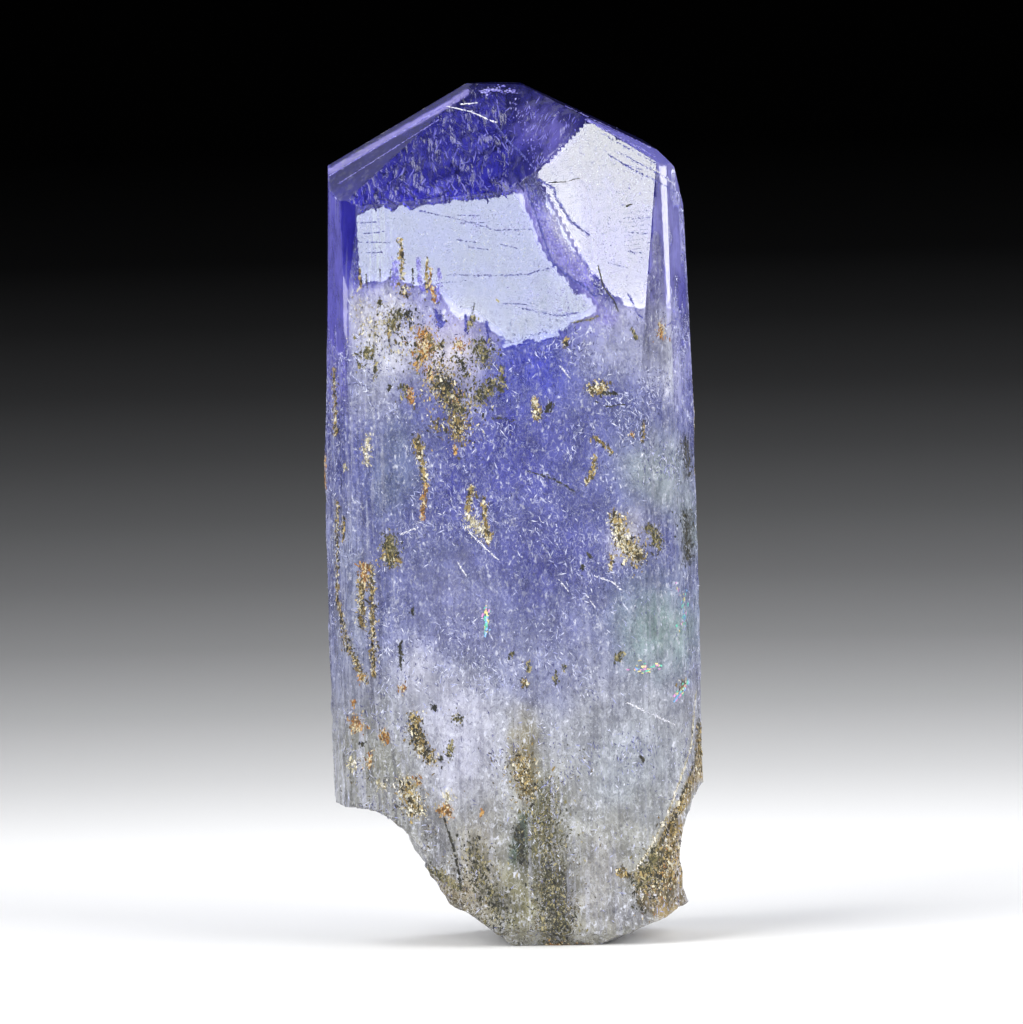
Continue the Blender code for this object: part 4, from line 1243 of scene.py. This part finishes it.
def build_flecks(mesh):
    """Thousands of pale and dark splinters that lie in the etched surface."""
    corners, normals, areas = surface_triangles(mesh)
    centres = corners.mean(axis=1)
    front = ramp(-normals[:, 1], 0.93, 0.98)
    shine = ramp(polish(centres, normals, front, shiny_depth(centres)), 0.45, 0.55)
    patchy = 0.06 + ramp(rough_noise(centres, 1.5, 501, 4), -0.1, 0.7)
    place = picture_place(centres)
    h = place[:, 1]
    seen = ramp(-normals[:, 1], 0.1, 0.3)
    busy = 1.0 + 1.5 * ramp(place[:, 0], 1.5, 4.0) * ramp(h, 15.0, 18.0)
    chances = {
        "body": (1.0 - shine) * patchy * ramp(h, -2.0, 8.0) * ramp(h, 24.6, 23.6) * busy,
        "dark roof": seen * ramp(depth_inside(place, DARK_ROOF), 0.1, 0.3) * (1.0 - shine * front),
        "lilac roof": seen * ramp(depth_inside(place, LILAC_ROOF), 0.25, 0.45),
        "shiny": shine * front,
        "foot": (0.02 + patchy**2) * ramp(h, 9.0, 1.0) * ramp(place[:, 0], 3.5, 1.5),
    }
    for number, flecks in enumerate(FLECKS):
        draw = np.random.default_rng(600 + number)
        chance = chances[flecks.where] * areas
        picks = draw.choice(len(areas), flecks.count, p=chance / chance.sum())
        light, dark = (np.array(colour) for colour in flecks.colours)
        placements = []
        for pick in picks:
            shares = draw.dirichlet((1.0, 1.0, 1.0))
            angle = draw.normal(FLECK_LEAN, flecks.wobble) + math.pi * draw.integers(2)
            length = draw.uniform(*flecks.half_length)
            width = draw.uniform(*flecks.half_width)
            turn = lying_on(normals[pick], angle) * (length, width, 0.5 * width)
            colour = light + (dark - light) * draw.uniform()
            placements.append((turn, shares @ corners[pick], colour))
        piece_mesh = joined_solids(flecks.name, flecks.shape, placements)
        new_piece(flecks.name, piece_mesh, grain_material(flecks.name))


class Veil(NamedTuple):
    """A wavy sheet of tiny bubbles inside the clear part: its middle and half sizes in mm, its
    turn round the upright and its lean, both in degrees, and the number of bubbles."""

    middle: tuple
    half_width: float
    half_height: float
    turn: float
    lean: float
    count: int


VEILS = [
    Veil((-2.4, -0.6, 25.0), 2.2, 1.6, 24.0, 18.0, 130),
    Veil((2.6, 0.4, 23.6), 2.4, 1.6, -35.0, -12.0, 150),
    Veil((0.6, 1.4, 26.4), 1.4, 1.0, 60.0, 34.0, 60),
]

# The bubbles' half widths in mm, and their colour.
BUBBLE_SIZES = (0.008, 0.020)
BUBBLE_COLOUR = (0.66, 0.67, 0.90)


def build_veils():
    """Healed cracks inside the clear top, each a wavy sheet of tiny pale bubbles."""
    draw = np.random.default_rng(700)
    placements = []
    for veil in VEILS:
        turn = Matrix.Rotation(math.radians(veil.turn), 3, "Z") @ Matrix.Rotation(
            math.radians(veil.lean), 3, "X")
        for _ in range(veil.count):
            across, up = draw.uniform(-1.0, 1.0, 2)
            if across**2 + up**2 > 1.0:
                continue
            wave = 0.25 * math.sin(3.0 * across + 2.0 * up) + draw.normal(0.0, 0.03)
            place = Vector((across * veil.half_width, wave, up * veil.half_height))
            size = draw.uniform(*BUBBLE_SIZES)
            placements.append((
                lying_on((0.0, -1.0, 0.0), draw.uniform(0.0, math.pi)) * (1.6 * size, size, size),
                np.array(turn @ place) + veil.middle,
                np.array(BUBBLE_COLOUR) * draw.uniform(0.85, 1.05),
            ))
    new_piece("veils", joined_solids("veils", splinter_shape(), placements), grain_material("veil"))


def main():
    """The crystal and all that is grown into it."""
    mesh = shape_crystal()
    crystal = new_piece("crystal", mesh, stone_material())
    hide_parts(NODE)
    build_grains(surface_tree(mesh))
    build_flecks(mesh)
    build_veils()


# The studio

def build_camera():
    """A long lens a little above the crystal, rolled so that the crystal leans as in the photo."""
    data = bpy.data.cameras.new("camera")
    data.sensor_width = SENSOR
    data.lens = SENSOR * CAMERA_DISTANCE / (PHOTO_SIZE / PHOTO_PIXELS_PER_MM)
    data.clip_start = 0.01
    data.clip_end = 20.0
    camera = put_in_scene("camera", data)
    target = VIEW_CENTRE_HEIGHT * UP_THE_VIEW
    place = target - CAMERA_DISTANCE * INTO_THE_VIEW
    camera.location = (VIEW_CENTRE_X * MM, place[1] * MM, place[2] * MM)
    tilt = Matrix.Rotation(math.radians(90.0 - CAMERA_ELEVATION), 3, "X")
    roll = Matrix.Rotation(math.radians(-PHOTO_LEAN), 3, "Z")
    camera.rotation_euler = (tilt @ roll).to_euler()
    bpy.context.scene.camera = camera


# The backdrop's bowl, in metres: its flat middle, its rim, how fast it rises, the number of rings
# and of segments, and its painted brightness by the distance from the middle: a painted pool of
# light, pale where the crystal stands and dark further out.
BOWL_FLAT = 0.05
BOWL_RADIUS = 1.3
BOWL_RISE = 0.24
BOWL_RINGS = 80
BOWL_SEGMENTS = 96
BOWL_PAINTED_LIGHT = [
    (0.000, 0.96), (0.045, 0.95), (0.078, 0.64), (0.110, 0.41), (0.140, 0.25), (0.170, 0.153),
    (0.200, 0.093), (0.228, 0.053), (0.256, 0.025), (0.285, 0.011), (0.312, 0.0034),
    (0.360, 0.0006), (1.000, 0.0003),
]


def build_backdrop():
    """A wide bowl round the crystal, painted pale where it stands and darker further out: a painted pool of
    light.
    """
    rings = bmesh.new()
    for k in range(BOWL_RINGS + 1):
        radius = BOWL_RADIUS * (k / BOWL_RINGS) ** 1.5
        height = BOWL_RISE * max(0.0, radius - BOWL_FLAT) ** 2
        rings.verts.new((radius, 0.0, height))
    rings.verts.ensure_lookup_table()
    for k in range(BOWL_RINGS):
        rings.edges.new((rings.verts[k], rings.verts[k + 1]))
    bmesh.ops.spin(
        rings, geom=rings.verts[:] + rings.edges[:], axis=(0, 0, 1), cent=(0, 0, 0),
        steps=BOWL_SEGMENTS, angle=math.tau, use_merge=True,
    )
    bmesh.ops.remove_doubles(rings, verts=rings.verts, dist=1e-6)
    for face in rings.faces:
        face.smooth = True
    mesh = bpy.data.meshes.new("backdrop")
    rings.to_mesh(mesh)
    rings.free()
    backdrop = put_in_scene("backdrop", mesh)

    made = Nodes("backdrop")
    flat = made.stretched((1, 1, 0))
    length = made.add("ShaderNodeVectorMath", operation="LENGTH")
    made.link(flat, length.inputs[0])
    # The bowl's colour falls from pale to dark with the distance from the middle: a painted pool of light.
    painted_pool = made.add("ShaderNodeValToRGB")
    painted_pool.color_ramp.interpolation = "LINEAR"
    made.link(length.outputs["Value"], painted_pool.inputs["Fac"])
    stops = painted_pool.color_ramp.elements
    while len(stops) < len(BOWL_PAINTED_LIGHT):
        stops.new(0.5)
    for stop, (radius, tone) in zip(stops, BOWL_PAINTED_LIGHT):
        stop.position = radius
        stop.color = (tone, tone, tone, 1.0)
    made.link(painted_pool.outputs["Color"], made.shader.inputs["Base Color"])
    made.shader.inputs["Roughness"].default_value = 0.9
    made.shader.inputs["Specular IOR Level"].default_value = 0.0
    mesh.materials.append(made.material)


def unit(vector):
    """A vector brought to length 1."""
    return vector / np.linalg.norm(vector)


def looking(azimuth, tilt):
    """The direction at an azimuth, from the camera's side to the right, and a tilt upwards, both
    in degrees."""
    azimuth, tilt = math.radians(azimuth), math.radians(tilt)
    return np.array([
        math.sin(azimuth) * math.cos(tilt), -math.cos(azimuth) * math.cos(tilt), math.sin(tilt)
    ])


def mirror_spot(x, h, plane_point, plane_azimuth, plane_tilt, distance):
    """Where a lamp stands, at a distance in mm, so that the camera sees it mirrored at (x, h)
    on a flat face."""
    normal = looking(plane_azimuth, plane_tilt)
    camera = VIEW_CENTRE_HEIGHT * UP_THE_VIEW - CAMERA_DISTANCE * INTO_THE_VIEW
    camera[0] = VIEW_CENTRE_X
    aim = h * UP_THE_VIEW
    aim[0] = x
    ray = unit(aim - camera)
    reach = np.dot(np.array(plane_point) - camera, normal) / np.dot(ray, normal)
    place = camera + ray * reach
    bounced = ray - 2.0 * np.dot(ray, normal) * normal
    return place + bounced * distance


def softbox(name, corner_low_left, corner_high_right, radiance, colour):
    """A rectangular lamp that spans two corners in mm and faces the crystal."""
    low, high = np.array(corner_low_left), np.array(corner_high_right)
    centre = (low + high) / 2.0
    inward = unit(np.array([0.0, 0.0, MIDDLE_HEIGHT]) - centre)
    side = unit(np.cross(inward, [0.0, 0.0, 1.0]))
    up = np.cross(side, inward)
    size_x = abs(np.dot(high - low, side))
    size_y = abs(np.dot(high - low, up))
    data = bpy.data.lights.new(name, "AREA")
    data.shape = "RECTANGLE"
    data.size = size_x * MM
    data.size_y = size_y * MM
    data.energy = radiance * math.pi * data.size * data.size_y
    data.color = colour
    lamp = put_in_scene(name, data)
    turn = Matrix((side, up, -inward)).transposed().to_4x4()
    lamp.matrix_world = Matrix.Translation(Vector(centre) * MM) @ turn
    lamp.visible_camera = False


# The two front faces: a point on each in mm, its azimuth and its tilt. Their lamps stand this
# far from them, in mm.
LEFT_FACE = ((1.1, -5.15, 20.0), -3.0, 0.0)
RIGHT_FACE = ((1.15, -5.16, 28.57), 5.0, 4.0)
MIRROR_DISTANCE = 150.0

# Their lamps: a name, the face, two corners of the reflection in (x, h), radiance and colour.
FACE_LAMPS = [
    ("left face light", LEFT_FACE, (-12.0, 21.9), (4.5, 38.0), 9.0, (0.89, 0.97, 1.0)),
    ("right face light", RIGHT_FACE, (-2.0, 19.0), (9.5, 38.0), 11.0, (0.98, 1.0, 0.96)),
]


class Lamp(NamedTuple):
    """A softbox seen from the crystal: azimuth from the camera to the right, elevation, distance,
    width and height in mm, radiance and colour."""

    name: str
    azimuth: float
    elevation: float
    distance: float
    width: float
    height: float
    radiance: float
    colour: tuple


LAMPS = [
    Lamp("key left", -50, 32, 450, 320, 300, 5.1, (1.0, 0.99, 0.97)),
    Lamp("key right", 52, 24, 450, 300, 300, 5.1, (1.0, 0.99, 0.97)),
    Lamp("back top", -150, 49, 450, 260, 200, 0.35, (1.0, 1.0, 1.0)),
    Lamp("high left", -80, 66, 450, 220, 200, 3.0, (1.0, 1.0, 1.0)),
    Lamp("high right", 100, 60, 450, 220, 200, 3.0, (1.0, 1.0, 1.0)),
    Lamp("strip left", -92, 2, 200, 14, 50, 3.5, (1.0, 1.0, 1.0)),
    Lamp("strip right", 104, 2.2, 200, 14, 9, 7.0, (1.0, 1.0, 1.0)),
    Lamp("rim left", -140, 12, 450, 200, 250, 3.0, (0.85, 0.88, 1.0)),
    Lamp("rim right", 140, 12, 450, 200, 250, 6.0, (0.85, 0.88, 1.0)),
]

# The faint light that comes from all round.
WORLD_COLOUR = (0.85, 0.9, 1.0, 1.0)
WORLD_STRENGTH = 0.10


def build_lights():
    """Softboxes whose reflections lie on the two front faces, and others round the crystal."""
    for name, face, first, last, radiance, colour in FACE_LAMPS:
        low = mirror_spot(*first, *face, MIRROR_DISTANCE)
        high = mirror_spot(*last, *face, MIRROR_DISTANCE)
        softbox(name, low, high, radiance, colour)
    for lamp in LAMPS:
        turn = math.radians(lamp.azimuth)
        out = looking(lamp.azimuth, lamp.elevation)
        side = np.array([math.cos(turn), math.sin(turn), 0.0])
        up = np.cross(out, side)
        centre = out * lamp.distance + (0.0, 0.0, MIDDLE_HEIGHT)
        corner = side * lamp.width / 2.0 + up * lamp.height / 2.0
        softbox(lamp.name, centre - corner, centre + corner, lamp.radiance, lamp.colour)
    world = bpy.data.worlds.new("world")
    bpy.context.scene.world = world
    world.use_nodes = True
    background = world.node_tree.nodes["Background"]
    background.inputs["Color"].default_value = WORLD_COLOUR
    background.inputs["Strength"].default_value = WORLD_STRENGTH


def build_studio():
    """The camera, the backdrop and the lights."""
    build_camera()
    build_backdrop()
    build_lights()
    bpy.context.scene.view_settings.view_transform = "Standard"


main()
build_studio()
